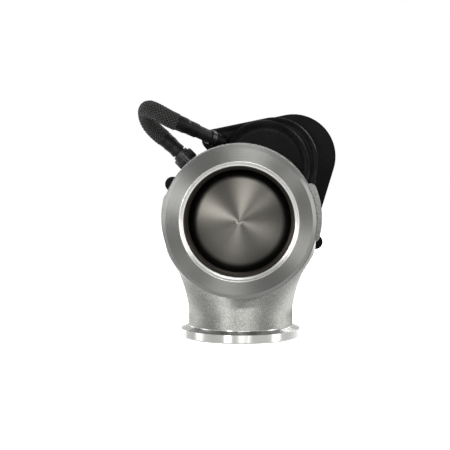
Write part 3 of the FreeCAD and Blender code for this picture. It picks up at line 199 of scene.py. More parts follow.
def mottled(name, shades, roughness, patch_mm, grit_mm, relief_mm, **sockets):
    """A surface in two close shades: broad patches of colour, and fine grit in its gloss and relief."""
    made, tree = material_of(name)
    own = node(tree, "ShaderNodeTexCoord").outputs["Object"]
    patches = node(tree, "ShaderNodeTexNoise", {"Vector": own, "Scale": 1000 / patch_mm, "Detail": 4.0})
    grit = node(tree, "ShaderNodeTexNoise", {"Vector": own, "Scale": 1000 / grit_mm, "Detail": 3.0})
    blend = node(tree, "ShaderNodeMath", {0: grit.outputs["Fac"], 1: 0.4, 2: -0.2}, operation="MULTIPLY_ADD")
    toned = node(tree, "ShaderNodeMath", {0: patches.outputs["Fac"], 1: blend.outputs[0]}, operation="ADD")
    colour = node(tree, "ShaderNodeValToRGB", {"Fac": toned.outputs[0]},
                  stops=[(0.3, shades[0]), (0.7, shades[1])])
    gloss = node(tree, "ShaderNodeMapRange", {"Value": grit.outputs["Fac"], "From Min": 0.3, "From Max": 0.7,
                                              "To Min": roughness - 0.05, "To Max": roughness + 0.07})
    skin = node(tree, "ShaderNodeBump", {"Height": grit.outputs["Fac"], "Distance": relief_mm / 1000})
    shader = node(tree, "ShaderNodeBsdfPrincipled", {"Base Color": colour.outputs[0],
                                                     "Roughness": gloss.outputs[0],
                                                     "Normal": skin.outputs[0]})
    for socket, value in sockets.items():
        shader.inputs[socket.replace("_", " ")].default_value = value
    node(tree, "ShaderNodeOutputMaterial", {"Surface": shader.outputs[0]})
    return made


def route_curve(name, points, radius):
    """Smooth line through a route's control points, round in section."""
    curve = bpy.data.curves.new(name, "CURVE")
    curve.dimensions = "3D"
    curve.resolution_u = 16
    spline = curve.splines.new("NURBS")
    spline.points.add(len(points) - 1)
    for held, point in zip(spline.points, points):
        held.co = (*point, 1.0)
    spline.order_u = 3
    spline.use_endpoint_u = True
    curve.bevel_depth = radius
    curve.bevel_resolution = 6
    piece = bpy.data.objects.new(name, curve)
    scene.collection.objects.link(piece)
    return piece


actuator_lead = route_curve("lead_jacket", LEAD_ROUTE, LEAD_D / 2)
# Extruded polyurethane: satin black, slightly uneven along its length.
cable_jacket = mottled("polyurethane_jacket", ("#040404", "#090909"), 0.55, 6.0, 0.6, 0.03,
                       Specular_IOR_Level=0.08)
actuator_lead.data.materials.append(cable_jacket)
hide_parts("actuator_lead")
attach(actuator_lead, "frame")


# ---- Braided sleeve ----
# A polyester sleeve braided from crossing helical yarns, pushed over the middle of the lead.
# Fourteen yarns run each way, over and under each other, on a dark lining. A real sleeve has more and
# finer yarns, too fine to show.

SLEEVE_D = 0.0112
SLEEVE_START = 0.0262
SLEEVE_END = 0.0152
YARNS = 14
YARN_R = 0.00055
YARN_LAY = 0.030
YARN_LIFT = 0.6
BRAID_STEPS = 220
LINING_R = SLEEVE_D / 2 - 2.2 * YARN_R
LINING_STRIDE = 4


def centre_line(points):
    """Places along the route's smooth line, as a mesh of points joined in a row."""
    bare = route_curve("bare_route", points, 0.0)
    graph = bpy.context.evaluated_depsgraph_get()
    mesh = bpy.data.meshes.new_from_object(bare.evaluated_get(graph))
    places = [v.co.copy() for v in mesh.vertices]
    bpy.data.objects.remove(bare)
    return places


def part_of_line(places, skip_start, skip_end):
    """The stretch of a line that is left when its two ends are taken off."""
    reach = [0.0]
    for here, there in zip(places, places[1:]):
        reach.append(reach[-1] + (there - here).length)
    last = reach[-1] - skip_end

    def at(distance):
        for n in range(len(reach) - 1):
            if reach[n + 1] >= distance:
                share = (distance - reach[n]) / (reach[n + 1] - reach[n])
                return places[n].lerp(places[n + 1], share)
        return places[-1]

    inner = [place for place, gone in zip(places, reach) if skip_start < gone < last]
    return [at(skip_start)] + inner + [at(last)]


def line_object(name, places):
    """Plain poly line as a curve object, for a node tree to work on."""
    curve = bpy.data.curves.new(name, "CURVE")
    curve.dimensions = "3D"
    spline = curve.splines.new("POLY")
    spline.points.add(len(places) - 1)
    for held, place in zip(spline.points, places):
        held.co = (*place, 1.0)
    piece = bpy.data.objects.new(name, curve)
    scene.collection.objects.link(piece)
    return piece


def node_group(name, **sizes):
    """Empty Geometry Nodes tree with a geometry input and named sizes, whole numbers where one is given."""
    tree = bpy.data.node_groups.new(name, "GeometryNodeTree")
    tree.interface.new_socket("Geometry", in_out="INPUT", socket_type="NodeSocketGeometry")
    for label, value in sizes.items():
        kind = "NodeSocketInt" if isinstance(value, int) else "NodeSocketFloat"
        tree.interface.new_socket(label, in_out="INPUT", socket_type=kind)
    tree.interface.new_socket("Geometry", in_out="OUTPUT", socket_type="NodeSocketGeometry")
    return tree, node(tree, "NodeGroupInput")


def made_by(tree, base, name, material, **sizes):
    """Runs a tree on an object and keeps the result as one plain mesh."""
    modifier = base.modifiers.new(name, "NODES")
    modifier.node_group = tree
    for item in tree.interface.items_tree:
        if item.in_out == "INPUT" and item.name in sizes:
            modifier[item.identifier] = sizes[item.name]
    graph = bpy.context.evaluated_depsgraph_get()
    mesh = bpy.data.meshes.new_from_object(base.evaluated_get(graph))
    base.modifiers.remove(modifier)
    bpy.data.objects.remove(base)
    mesh.name = name
    mesh.materials.clear()
    mesh.materials.append(material)
    piece = bpy.data.objects.new(name, mesh)
    scene.collection.objects.link(piece)
    return piece


def end_tree(tree, geometry, material, smooth=True):
    """Every tree ends the same way: real geometry with its material, shaded smooth unless told not to."""
    if smooth:
        geometry = node(tree, "GeometryNodeSetShadeSmooth", {"Geometry": geometry}).outputs[0]
    real = node(tree, "GeometryNodeRealizeInstances", {"Geometry": geometry})
    dressed = node(tree, "GeometryNodeSetMaterial", {"Geometry": real.outputs[0], "Material": material})
    node(tree, "NodeGroupOutput", {"Geometry": dressed.outputs[0]})


def braid_tree(material):
    """Helical yarns round a line, one way and the other, each passing over and under in turn."""
    tree, given = node_group("braid", Radius=1.0, Yarns=1, Lay=1.0, Thickness=1.0, Turn_way=1.0)
    fine = node(tree, "GeometryNodeResampleCurve", {"Curve": given.outputs["Geometry"], "Count": BRAID_STEPS})
    run = node(tree, "GeometryNodeSplineParameter")
    side = node(tree, "GeometryNodeInputNormal")
    way = node(tree, "GeometryNodeInputTangent")
    kept = fine.outputs[0]
    fields = []
    for source, kind in ((run.outputs["Length"], "FLOAT"), (side.outputs[0], "VECTOR"),
                         (way.outputs[0], "VECTOR")):
        held = node(tree, "GeometryNodeCaptureAttribute", {"Geometry": kept})
        held.capture_items.new(kind, "held")
        tree.links.new(source, held.inputs[1])
        kept = held.outputs[0]
        fields.append(held.outputs[1])
    length, across, along = fields
    copies = node(tree, "GeometryNodeDuplicateElements", {"Geometry": kept, "Amount": given.outputs["Yarns"]},
                  domain="SPLINE")
    share = node(tree, "ShaderNodeMath", {0: copies.outputs["Duplicate Index"], 1: given.outputs["Yarns"]},
                 operation="DIVIDE")
    turns = node(tree, "ShaderNodeMath", {0: length, 1: given.outputs["Lay"]}, operation="DIVIDE")
    wound = node(tree, "ShaderNodeMath", {0: turns.outputs[0], 1: given.outputs["Turn_way"],
                                          2: share.outputs[0]}, operation="MULTIPLY_ADD")
    angle = node(tree, "ShaderNodeMath", {0: wound.outputs[0], 1: 2 * math.pi}, operation="MULTIPLY")
    crossings = node(tree, "ShaderNodeMath", {0: turns.outputs[0], 1: given.outputs["Yarns"]},
                     operation="MULTIPLY")
    beat = node(tree, "ShaderNodeMath", {0: crossings.outputs[0], 1: 2 * math.pi}, operation="MULTIPLY")
    wave = node(tree, "ShaderNodeMath", {0: beat.outputs[0]}, operation="COSINE")
    lift = node(tree, "ShaderNodeMath", {0: wave.outputs[0], 1: given.outputs["Turn_way"]},
                operation="MULTIPLY")
    most = node(tree, "ShaderNodeMath", {0: given.outputs["Thickness"], 1: YARN_LIFT}, operation="MULTIPLY")
    radius = node(tree, "ShaderNodeMath", {0: lift.outputs[0], 1: most.outputs[0],
                                           2: given.outputs["Radius"]}, operation="MULTIPLY_ADD")
    third = node(tree, "ShaderNodeVectorMath", {0: along, 1: across}, operation="CROSS_PRODUCT")
    cosine = node(tree, "ShaderNodeMath", {0: angle.outputs[0]}, operation="COSINE")
    sine = node(tree, "ShaderNodeMath", {0: angle.outputs[0]}, operation="SINE")
    first_part = node(tree, "ShaderNodeVectorMath", {0: across, "Scale": cosine.outputs[0]},
                      operation="SCALE")
    second_part = node(tree, "ShaderNodeVectorMath", {0: third.outputs[0], "Scale": sine.outputs[0]},
                       operation="SCALE")
    outward = node(tree, "ShaderNodeVectorMath", {0: first_part.outputs[0], 1: second_part.outputs[0]})
    offset = node(tree, "ShaderNodeVectorMath", {0: outward.outputs[0], "Scale": radius.outputs[0]},
                  operation="SCALE")
    moved = node(tree, "GeometryNodeSetPosition", {"Geometry": copies.outputs[0],
                                                   "Offset": offset.outputs[0]})
    ring = node(tree, "GeometryNodeCurvePrimitiveCircle", {"Resolution": 6,
                                                           "Radius": given.outputs["Thickness"]})
    tube = node(tree, "GeometryNodeCurveToMesh", {"Curve": moved.outputs[0], "Profile Curve": ring.outputs[0],
                                                  "Fill Caps": True})
    end_tree(tree, tube.outputs[0], material)
    return tree


lead_line = centre_line(LEAD_ROUTE)
sleeve_line = part_of_line(lead_line, SLEEVE_START, SLEEVE_END)
# Spun polyester yarn: matt black, with paler flecks.
yarn_material = mottled("braided_polyester", ("#040404", "#181817"), 0.72, 0.7, 0.35, 0.05,
                        Specular_IOR_Level=0.18)
braid = braid_tree(yarn_material)
sleeve_pieces = []
for label, way in (("left_hand_yarns", 1.0), ("right_hand_yarns", -1.0)):
    yarns = made_by(braid, line_object(label, sleeve_line), "sleeve_" + label, yarn_material,
                    Radius=SLEEVE_D / 2 - YARN_R, Yarns=YARNS, Lay=YARN_LAY, Thickness=YARN_R, Turn_way=way)
    sleeve_pieces.append(yarns)
lining = route_curve("sleeve_lining", [tuple(p) for p in sleeve_line[::LINING_STRIDE]], LINING_R)
lining.data.materials.append(yarn_material)
sleeve_pieces.append(lining)
for piece in sleeve_pieces:
    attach(piece, "frame")
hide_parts("lead_braid")
lead_length = sum((b - a).length for a, b in zip(lead_line, lead_line[1:]))


# ---- Heat-shrink boots ----
# Adhesive-lined heat-shrink tube over each end of the sleeve, shrunk down on the cable with a hot gun.
# It shows the step of the sleeve under it and slight rings where it gathered.

GLAND_BOOT_START = 0.0105
GLAND_BOOT_END = 0.0275
CONNECTOR_BOOT_START = 0.0160
CONNECTOR_BOOT_GAP = 0.0010
STEP_FROM = 0.42
STEP_TO = 0.58
SKIN_STEPS = 60
SKIN_SIDES = 36


def skin_tree(material):
    """Round skin round a line, its radius set by a profile along the line."""
    tree, given = node_group("shrunk_skin", Radius=1.0, End_radius=1.0, Ripple=0.0, Ripple_angle=1.0)
    fine = node(tree, "GeometryNodeResampleCurve", {"Curve": given.outputs["Geometry"], "Count": SKIN_STEPS})
    run = node(tree, "GeometryNodeSplineParameter")
    change = node(tree, "ShaderNodeMapRange", {"Value": run.outputs["Factor"],
                                               "From Min": STEP_FROM, "From Max": STEP_TO,
                                               "To Min": given.outputs["Radius"],
                                               "To Max": given.outputs["End_radius"]},
                  interpolation_type="SMOOTHSTEP")
    beat = node(tree, "ShaderNodeMath", {0: run.outputs["Factor"], 1: given.outputs["Ripple_angle"]},
                operation="MULTIPLY")
    wave = node(tree, "ShaderNodeMath", {0: beat.outputs[0]}, operation="SINE")
    size = node(tree, "ShaderNodeMath", {0: wave.outputs[0], 1: given.outputs["Ripple"],
                                         2: change.outputs[0]}, operation="MULTIPLY_ADD")
    ring = node(tree, "GeometryNodeCurvePrimitiveCircle", {"Resolution": SKIN_SIDES, "Radius": 1.0})
    tube = node(tree, "GeometryNodeCurveToMesh", {"Curve": fine.outputs[0], "Profile Curve": ring.outputs[0],
                                                  "Fill Caps": True, "Scale": size.outputs[0]})
    end_tree(tree, tube.outputs[0], material)
    return tree


# Shrunk polyolefin: smooth, near black, semi-gloss.
shrink_material = mottled("shrunk_polyolefin", ("#020202", "#050505"), 0.50, 8.0, 2.0, 0.12,
                          Specular_IOR_Level=0.06)
skin = skin_tree(shrink_material)
boot_places = (
    ("gland_boot", GLAND_BOOT_START, lead_length - GLAND_BOOT_END,
     {"Radius": 0.0048, "End_radius": 0.0053, "Ripple": 0.00006, "Ripple_angle": 7.0}),
    ("connector_boot", lead_length - CONNECTOR_BOOT_START, CONNECTOR_BOOT_GAP,
     {"Radius": 0.0054, "End_radius": 0.0051, "Ripple": 0.00012, "Ripple_angle": 15.0}),
)
for label, skip_start, skip_end, boot_sizes in boot_places:
    stretch = part_of_line(lead_line, skip_start, skip_end)
    boot = made_by(skin, line_object(label, stretch), label, shrink_material, **boot_sizes)
    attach(boot, "frame")
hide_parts("lead_boots")


# ---- Valve body ----
# One investment casting in stainless steel, blasted with fine grit after the gate is cut off.
# Both V-band flanges, the recess and the bores are then turned. The inside of the bores is painted darker as
# shade.

AXIS_HEIGHT = 0.072
INLET_FLANGE_BACK = -0.0436
INLET_BORE_R = 0.0319
INLET_EDGE_R = 0.0342
INLET_FACE_R = 0.0418
BORE_LIP = -0.0492
OUTLET_FLANGE_TOP = 0.0073
OUTLET_BORE_R = 0.0278
BORE_REACH_UP = 0.0440
BLAST_GRIT_MM = 0.6
TONE_PATCH_MM = 16.0
TONE_PATCH_SHARE = 0.12
INLET_CUT_MM = 0.5
BODY_RELIEF = 0.00012
OUTLET_ROUGHNESS = 0.27
BRUSHING = 0.95


def measure(tree, middle, across):
    """The place about an axis, and the distance from it; across picks the two directions that count."""
    own = node(tree, "ShaderNodeTexCoord").outputs["Object"]
    moved = node(tree, "ShaderNodeVectorMath", {0: own, 1: middle}, operation="SUBTRACT")
    flat = node(tree, "ShaderNodeVectorMath", {0: moved.outputs[0], 1: across}, operation="MULTIPLY")
    radius = node(tree, "ShaderNodeVectorMath", {0: flat.outputs[0]}, operation="LENGTH")
    return own, flat.outputs[0], radius.outputs["Value"]


def blasted_casting():
    """Grit-blasted stainless: grey, even, softly sparkling; turned flanges brushed round their axis."""
    made, tree = material_of("blasted_stainless_casting")
    own, inlet_flat, inlet_r = measure(tree, (0.0, 0.0, AXIS_HEIGHT), (1.0, 0.0, 1.0))
    _, outlet_flat, outlet_r = measure(tree, (0.0, 0.0, 0.0), (1.0, 1.0, 0.0))
    place = node(tree, "ShaderNodeSeparateXYZ", {0: own})
    along, height = place.outputs["Y"], place.outputs["Z"]

    # The real grit, about 0.1 mm, and the real tool marks are too fine to see, so both are coarser.
    grit_noise = node(tree, "ShaderNodeTexNoise", {"Vector": own, "Scale": 1000 / BLAST_GRIT_MM,
                                                   "Detail": 5.0})
    cloud_noise = node(tree, "ShaderNodeTexNoise", {"Vector": own, "Scale": 1000 / TONE_PATCH_MM,
                                                    "Detail": 2.0})
    rings = node(tree, "ShaderNodeCombineXYZ", {"X": inlet_r})
    cut_noise = node(tree, "ShaderNodeTexNoise", {"Vector": rings.outputs[0], "Scale": 1000 / INLET_CUT_MM})
    grit = grit_noise.outputs["Fac"]
    cloud = cloud_noise.outputs["Fac"]
    cuts = cut_noise.outputs["Fac"]

    at_inlet = node(tree, "ShaderNodeMath", {0: along, 1: INLET_FLANGE_BACK}, operation="LESS_THAN")
    at_outlet = node(tree, "ShaderNodeMath", {0: height, 1: OUTLET_FLANGE_TOP}, operation="LESS_THAN")
    turned = node(tree, "ShaderNodeMath", {0: at_inlet.outputs[0], 1: at_outlet.outputs[0]},
                  operation="MAXIMUM")
    # Painted shade: inside the inlet and outlet bores the colour turns dark, as the shade deep in them.
    past_lip = node(tree, "ShaderNodeMath", {0: along, 1: BORE_LIP}, operation="GREATER_THAN")
    near_axis = node(tree, "ShaderNodeMath", {0: inlet_r, 1: INLET_BORE_R}, operation="LESS_THAN")
    in_inlet = node(tree, "ShaderNodeMath", {0: past_lip.outputs[0], 1: near_axis.outputs[0]},
                    operation="MULTIPLY")
    low = node(tree, "ShaderNodeMath", {0: height, 1: BORE_REACH_UP}, operation="LESS_THAN")
    narrow = node(tree, "ShaderNodeMath", {0: outlet_r, 1: OUTLET_BORE_R}, operation="LESS_THAN")
    in_outlet = node(tree, "ShaderNodeMath", {0: low.outputs[0], 1: narrow.outputs[0]},
                     operation="MULTIPLY")
    bore_shade_mask = node(tree, "ShaderNodeMath", {0: in_inlet.outputs[0], 1: in_outlet.outputs[0]},
                 operation="MAXIMUM")

    mixed = node(tree, "ShaderNodeMath", {0: cloud, 1: TONE_PATCH_SHARE, 2: grit},
                 operation="MULTIPLY_ADD")
    cast = node(tree, "ShaderNodeValToRGB", {"Fac": mixed.outputs[0]},
                stops=[(0.36, "#50504e"), (0.74, "#81817e")])
    cut = node(tree, "ShaderNodeValToRGB", {"Fac": cuts}, stops=[(0.3, "#333332"), (0.7, "#474745")])
    # The bores' dark tone is painted shade.
    painted_bore_shade = node(tree, "ShaderNodeValToRGB", {"Fac": cloud}, stops=[(0.3, "#161412"), (0.7, "#2b2723")])
    outer = node(tree, "ShaderNodeMath", {0: inlet_r, 1: INLET_FACE_R}, operation="GREATER_THAN")
    inner = node(tree, "ShaderNodeMath", {0: inlet_r, 1: INLET_EDGE_R}, operation="LESS_THAN")
    fine = node(tree, "ShaderNodeMath", {0: outer.outputs[0], 1: inner.outputs[0]}, operation="MAXIMUM")
    rim = node(tree, "ShaderNodeMath", {0: outer.outputs[0], 1: at_inlet.outputs[0]},
               operation="MULTIPLY")
    # Painted highlight: the inlet's inner edge and the whole outlet flange get a brighter colour than the
    # inlet's turned face. The inlet's outer rim gets painted shade, nearly as dull as its face.
    edge_highlight_rim_shade = node(tree, "ShaderNodeMix", {0: rim.outputs[0], 6: linear("#838381"), 7: linear("#4f4f4e")},
                 data_type="RGBA")
    edged = node(tree, "ShaderNodeMix", {0: fine.outputs[0], 6: cut.outputs[0], 7: edge_highlight_rim_shade.outputs[2]},
                 data_type="RGBA")
    clean = node(tree, "ShaderNodeMix", {0: turned.outputs[0], 6: cast.outputs[0], 7: edged.outputs[2]},
                 data_type="RGBA")
    colour = node(tree, "ShaderNodeMix", {0: bore_shade_mask.outputs[0], 6: clean.outputs[2], 7: painted_bore_shade.outputs[0]},
                  data_type="RGBA")

    blasted = node(tree, "ShaderNodeMapRange", {"Value": grit, "To Min": 0.46, "To Max": 0.64})
    brushed = node(tree, "ShaderNodeMapRange", {"Value": cuts, "To Min": 0.35, "To Max": 0.42})
    faced = node(tree, "ShaderNodeMix", {0: turned.outputs[0], 2: blasted.outputs[0],
                                         3: brushed.outputs[0]}, data_type="FLOAT")
    rough = node(tree, "ShaderNodeMix", {0: at_outlet.outputs[0], 2: faced.outputs[0],
                                         3: OUTLET_ROUGHNESS}, data_type="FLOAT")
    ringed = node(tree, "ShaderNodeMix", {0: turned.outputs[0], 2: grit, 3: cuts}, data_type="FLOAT")
    # One height all over the outlet flange leaves it without relief.
    pits = node(tree, "ShaderNodeMix", {0: at_outlet.outputs[0], 2: ringed.outputs[0], 3: 0.5},
                data_type="FLOAT")
    skin = node(tree, "ShaderNodeBump", {"Height": pits.outputs[0], "Distance": BODY_RELIEF,
                                         "Strength": 0.6})
    # The tool marks run round each flange, so the brushing lies across them: outwards on the faces
    # and along the axis on the rims. The cast skin shares it, because it is one value all over.
    inlet_out = node(tree, "ShaderNodeVectorMath", {0: inlet_flat}, operation="NORMALIZE")
    inlet_lay = node(tree, "ShaderNodeVectorMath", {0: inlet_out.outputs[0], 1: (0.0, 1.0, 0.0)},
                     operation="ADD")
    outlet_out = node(tree, "ShaderNodeVectorMath", {0: outlet_flat}, operation="NORMALIZE")
    outlet_lay = node(tree, "ShaderNodeVectorMath", {0: outlet_out.outputs[0], 1: (0.0, 0.0, 1.0)},
                      operation="ADD")
    lay = node(tree, "ShaderNodeMix", {0: at_outlet.outputs[0], 4: inlet_lay.outputs[0],
                                       5: outlet_lay.outputs[0]}, data_type="VECTOR")
    shader = node(tree, "ShaderNodeBsdfPrincipled", {"Base Color": colour.outputs[2], "Metallic": 1.0,
                                                     "Roughness": rough.outputs[0],
                                                     "Anisotropic": BRUSHING,
                                                     "Tangent": lay.outputs[1],
                                                     "Normal": skin.outputs[0]})
    node(tree, "ShaderNodeOutputMaterial", {"Surface": shader.outputs[0]})
    return made


def dress(material, *names):
    """Gives CAD nodes their material."""
    for name in names:
        for place in cad[name].material_slots:
            place.material = material


dress(blasted_casting(), "valve_body")


# ---- Poppet valve and seat ----
# The valve is turned from heat-resisting steel, with a domed face whose fine rings gather light into fans.
# The seat is a hardened ring pressed into the chamber. Its dark colour is painted shade, deep in the bore.

VALVE_FACE_R = 0.0280
DARK_EDGE_FROM = 0.0042
DARK_EDGE_TO = 0.0006
VALVE_CUT_MM = 0.3
VALVE_RELIEF = 0.00003


def turned_steel(name, shades, painted_edge_shade, roughness):
    """Steel turned about the valve axis: fine rings brushed round it, and painted shade towards the face's
    edge.
    """
    made, tree = material_of(name)
    _, flat, radius = measure(tree, (0.0, 0.0, AXIS_HEIGHT), (1.0, 0.0, 1.0))
    rings = node(tree, "ShaderNodeCombineXYZ", {"X": radius})
    cut_noise = node(tree, "ShaderNodeTexNoise", {"Vector": rings.outputs[0], "Scale": 1000 / VALVE_CUT_MM})
    cuts = cut_noise.outputs["Fac"]
    toned = node(tree, "ShaderNodeMath", {0: cuts, 1: 0.8, 2: 0.35}, operation="MULTIPLY_ADD")
    face = node(tree, "ShaderNodeValToRGB", {"Fac": toned.outputs[0]},
                stops=[(0.55, shades[0]), (0.95, shades[1])])
    # Painted shade: the colour darkens near the rim of the face, where the dome falls away into the dark
    # bore.
    outer = node(tree, "ShaderNodeMapRange", {"Value": radius, "From Min": VALVE_FACE_R - DARK_EDGE_FROM,
                                              "From Max": VALVE_FACE_R - DARK_EDGE_TO},
                 interpolation_type="SMOOTHSTEP")
    colour = node(tree, "ShaderNodeMix", {0: outer.outputs[0], 6: face.outputs[0], 7: linear(painted_edge_shade)},
                  data_type="RGBA")
    gloss = node(tree, "ShaderNodeMapRange", {"Value": cuts, "To Min": roughness - 0.05,
                                              "To Max": roughness + 0.05})
    skin = node(tree, "ShaderNodeBump", {"Height": cuts, "Distance": VALVE_RELIEF, "Strength": 0.5})
    shader = node(tree, "ShaderNodeBsdfPrincipled", {"Base Color": colour.outputs[2], "Metallic": 1.0,
                                                     "Roughness": gloss.outputs[0],
                                                     "Anisotropic": BRUSHING,
                                                     "Tangent": flat, "Normal": skin.outputs[0]})
    node(tree, "ShaderNodeOutputMaterial", {"Surface": shader.outputs[0]})
    return made


# The valve face's dark edge colour is painted shade.
valve_steel = turned_steel("turned_valve_steel", ("#34332f", "#454340"), "#0a0a09", 0.40)
dress(valve_steel, "poppet_valve")
# The seat's dark shades are painted shade, as it sits deep in the bore.
seat_steel = turned_steel("hardened_seat_steel", ("#24211e", "#37322d"), "#1d1b19", 0.42)
dress(seat_steel, "valve_seat")


# ---- Bronze guides, bushes and nut ----
# Machined or sintered bronze: the stem guide, the flatted bush, the drive nut and the plain bearings.
# A film of oil leaves it brown in patches.

bronze = mottled("sintered_bronze", ("#7d6036", "#a98450"), 0.42, 5.0, 0.5, 0.02, Metallic=1.0)
dress(bronze, "stem_guide", "anti_rotation_bush", "drive_nut", "idler_bush", "motor_bushes")


# ---- Gears, lead screw, shafts and pins ----
# Case-hardened steel, hobbed or ground, slightly oiled and a little blue-grey. The motor's rotor, the
# seal retainer and the board's standoffs are plain steel with the same look.
# The bearings' rings and balls are finer ground and brighter.

gear_steel = mottled("hardened_gear_steel", ("#727376", "#8f9093"), 0.33, 5.0, 0.5, 0.02, Metallic=1.0)
dress(gear_steel, "lead_screw", "coupling_pin", "nut_gear", "idler_pinion", "idler_gear", "idler_shaft",
      "idler_washers", "motor_shaft", "motor_pinion", "motor_rotor", "seal_retainer", "board_standoffs")
bearing_steel = mottled("ground_bearing_steel", ("#b2b4b7", "#cccfd2"), 0.16, 8.0, 0.4, 0.01, Metallic=1.0)
dress(bearing_steel, "bearing_inner_races", "bearing_outer_races", "bearing_balls")


# ---- Motor ----
# A drawn and zinc-plated can with ferrite magnets in it and a copper commutator on the rotor.
# The position sensor's magnet is the same dark grey ferrite.

plated_can = mottled("zinc_plated_steel", ("#93948f", "#b0b1ac"), 0.36, 7.0, 0.8, 0.02, Metallic=1.0)
dress(plated_can, "motor_can", "motor_end_plate")
drawn_copper = mottled("drawn_copper", ("#a35c37", "#c47a4e"), 0.32, 4.0, 0.5, 0.02, Metallic=1.0)
dress(drawn_copper, "motor_commutator")
ferrite = mottled("sintered_ferrite", ("#262628", "#37373a"), 0.62, 4.0, 0.5, 0.03)
dress(ferrite, "motor_magnets", "sensor_magnet")


# ---- Stem seals and brushes ----
# Pressed from carbon powder: soft, matt and grey-black.
# The seals close round the valve's stem, and the brushes bear on the commutator.

pressed_carbon = mottled("pressed_carbon", ("#1a1a1b", "#29292b"), 0.62, 3.0, 0.4, 0.03)
dress(pressed_carbon, "stem_seals", "motor_brushes")


# ---- Gaskets, washers and rubber seals ----
# Embossed sheet steel at the hot joint, thin coated steel in front of the gearcase, soft copper under the
# plugs, and nitrile rubber under the cover and the cap.

gasket_steel = mottled("embossed_gasket_steel", ("#6a6864", "#8b8882"), 0.45, 6.0, 0.6, 0.03, Metallic=1.0)
dress(gasket_steel, "body_gasket", "gearcase_gasket")
soft_copper = mottled("annealed_copper", ("#a25b39", "#c27852"), 0.40, 4.0, 0.5, 0.02, Metallic=1.0)
dress(soft_copper, "port_washers")
nitrile = mottled("nitrile_rubber", ("#0d0d0d", "#171717"), 0.72, 5.0, 0.6, 0.03, Specular_IOR_Level=0.3)
dress(nitrile, "cover_gasket", "sensor_cap_seal")


# ---- Circuit boards ----
# Glass-laminate boards under green lacquer: the control board, and the one with the position sensor.
# The control board's components are moulded black epoxy.

board_lacquer = mottled("green_lacquered_laminate", ("#0f4426", "#185c35"), 0.38, 3.0, 0.5, 0.02)
dress(board_lacquer, "control_board", "position_sensor")
moulded_epoxy = mottled("moulded_epoxy", ("#141415", "#202022"), 0.55, 2.0, 0.4, 0.02)
dress(moulded_epoxy, "board_components")


# ---- Cooling housing and plugs ----
# Turned and milled aluminium, blasted and black anodised. The dye leaves a satin black, a little
# greyer in patches.

anodised = mottled("black_anodised_aluminium", ("#0d0d0e", "#171719"), 0.42, 9.0, 0.7, 0.03, Metallic=0.3,
                   Specular_IOR_Level=0.4)
dress(anodised, "cooling_housing", "port_plugs")


# ---- Gearcase and cover ----
# High-pressure aluminium castings, shot-blasted and coated satin black. The coat softens the edges and
# keeps the faint orange-peel of the blasted skin.

coated_casting = mottled("black_electrocoat", ("#030303", "#070707"), 0.36, 12.0, 1.6, 0.08,
                         Specular_IOR_Level=0.012)
dress(coated_casting, "gearcase_housing", "gearcase_cover")


# ---- Sensor cap, gland and connector ----
# Glass-filled nylon mouldings: satin black with a fine spark-eroded texture. The gland's nut and the
# connector's shell are harder and a little glossier.

moulded_nylon = mottled("moulded_nylon", ("#070707", "#101010"), 0.5, 6.0, 0.5, 0.05,
                        Specular_IOR_Level=0.15)
dress(moulded_nylon, "sensor_cap", "cable_gland", "lead_connector")
glossy_nylon = mottled("polished_nylon", ("#040404", "#0a0a0b"), 0.36, 6.0, 1.0, 0.02,
                       Specular_IOR_Level=0.12)
dress(glossy_nylon, "gland_nut", "connector_collar")


# ---- Grip ribs of the connector's collar ----
# Raised ribs moulded round the coupling collar, so that it can be turned by hand.
# They are the same nylon as the collar and stand a little proud of it.

COLLAR_RIBS = 24
COLLAR_RIB_R = 0.00045
COLLAR_RIB_LENGTH = 0.0056
COLLAR_RIB_SIDES = 10
COLLAR_LEAN = math.radians(-45.0)

collar_low, collar_high = (Vector(corner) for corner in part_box("connector_collar"))
collar_r = (collar_high.y - collar_low.y) / 2


def ribs_tree(material):
    """Round bars side by side on a circle, laid along a leaning axis."""
    tree, given = node_group("grip_ribs", Ribs=1, Circle=1.0, Rib=1.0, Length=1.0, Lean=1.0)
    circle = node(tree, "GeometryNodeMeshCircle", {"Vertices": given.outputs["Ribs"],
                                                   "Radius": given.outputs["Circle"]})
    bar = node(tree, "GeometryNodeMeshCylinder", {"Vertices": COLLAR_RIB_SIDES,
                                                  "Radius": given.outputs["Rib"],
                                                  "Depth": given.outputs["Length"]})
    placed = node(tree, "GeometryNodeInstanceOnPoints", {"Points": circle.outputs[0],
                                                         "Instance": bar.outputs[0]})
    lean = node(tree, "ShaderNodeCombineXYZ", {"Y": given.outputs["Lean"]})
    leant = node(tree, "GeometryNodeTransform", {"Geometry": placed.outputs[0], "Rotation": lean.outputs[0],
                                                 "Translation": (collar_low + collar_high) / 2})
    end_tree(tree, leant.outputs[0], material)
    return tree


blank = bpy.data.objects.new("collar_blank", bpy.data.meshes.new("collar_blank"))
scene.collection.objects.link(blank)
collar_ribs = made_by(ribs_tree(glossy_nylon), blank, "collar_grip_ribs", glossy_nylon, Ribs=COLLAR_RIBS,
                      Circle=collar_r - COLLAR_RIB_R / 2, Rib=COLLAR_RIB_R, Length=COLLAR_RIB_LENGTH,
                      Lean=COLLAR_LEAN)
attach(collar_ribs, "frame")


# ---- Socket screws ----
# Cap screws in black-oxide steel: a knurled head with a hexagon socket, and a shank down into its hole.
# Four hold the body to the cooling housing, nine the cover, three the sensor cap and four the gearcase.

SCREW_SIDES = 48
KNURL_DEPTH = 0.00013
HEX_SIXTH = math.pi / 3
TIP_SHARE = 0.8
TIP_CHAMFER = 0.3
KNURL_FROM = 0.06
KNURL_TO = 0.86
HEAD_TOP_SHARE = 0.88
SOCKET_SHARE = 0.84
SOCKET_MOUTH = 0.94
SOCKET_FLOOR = 0.45

black_oxide = mottled("black_oxide_steel", ("#2b2b2c", "#434345"), 0.36, 2.0, 0.3, 0.02, Metallic=1.0)


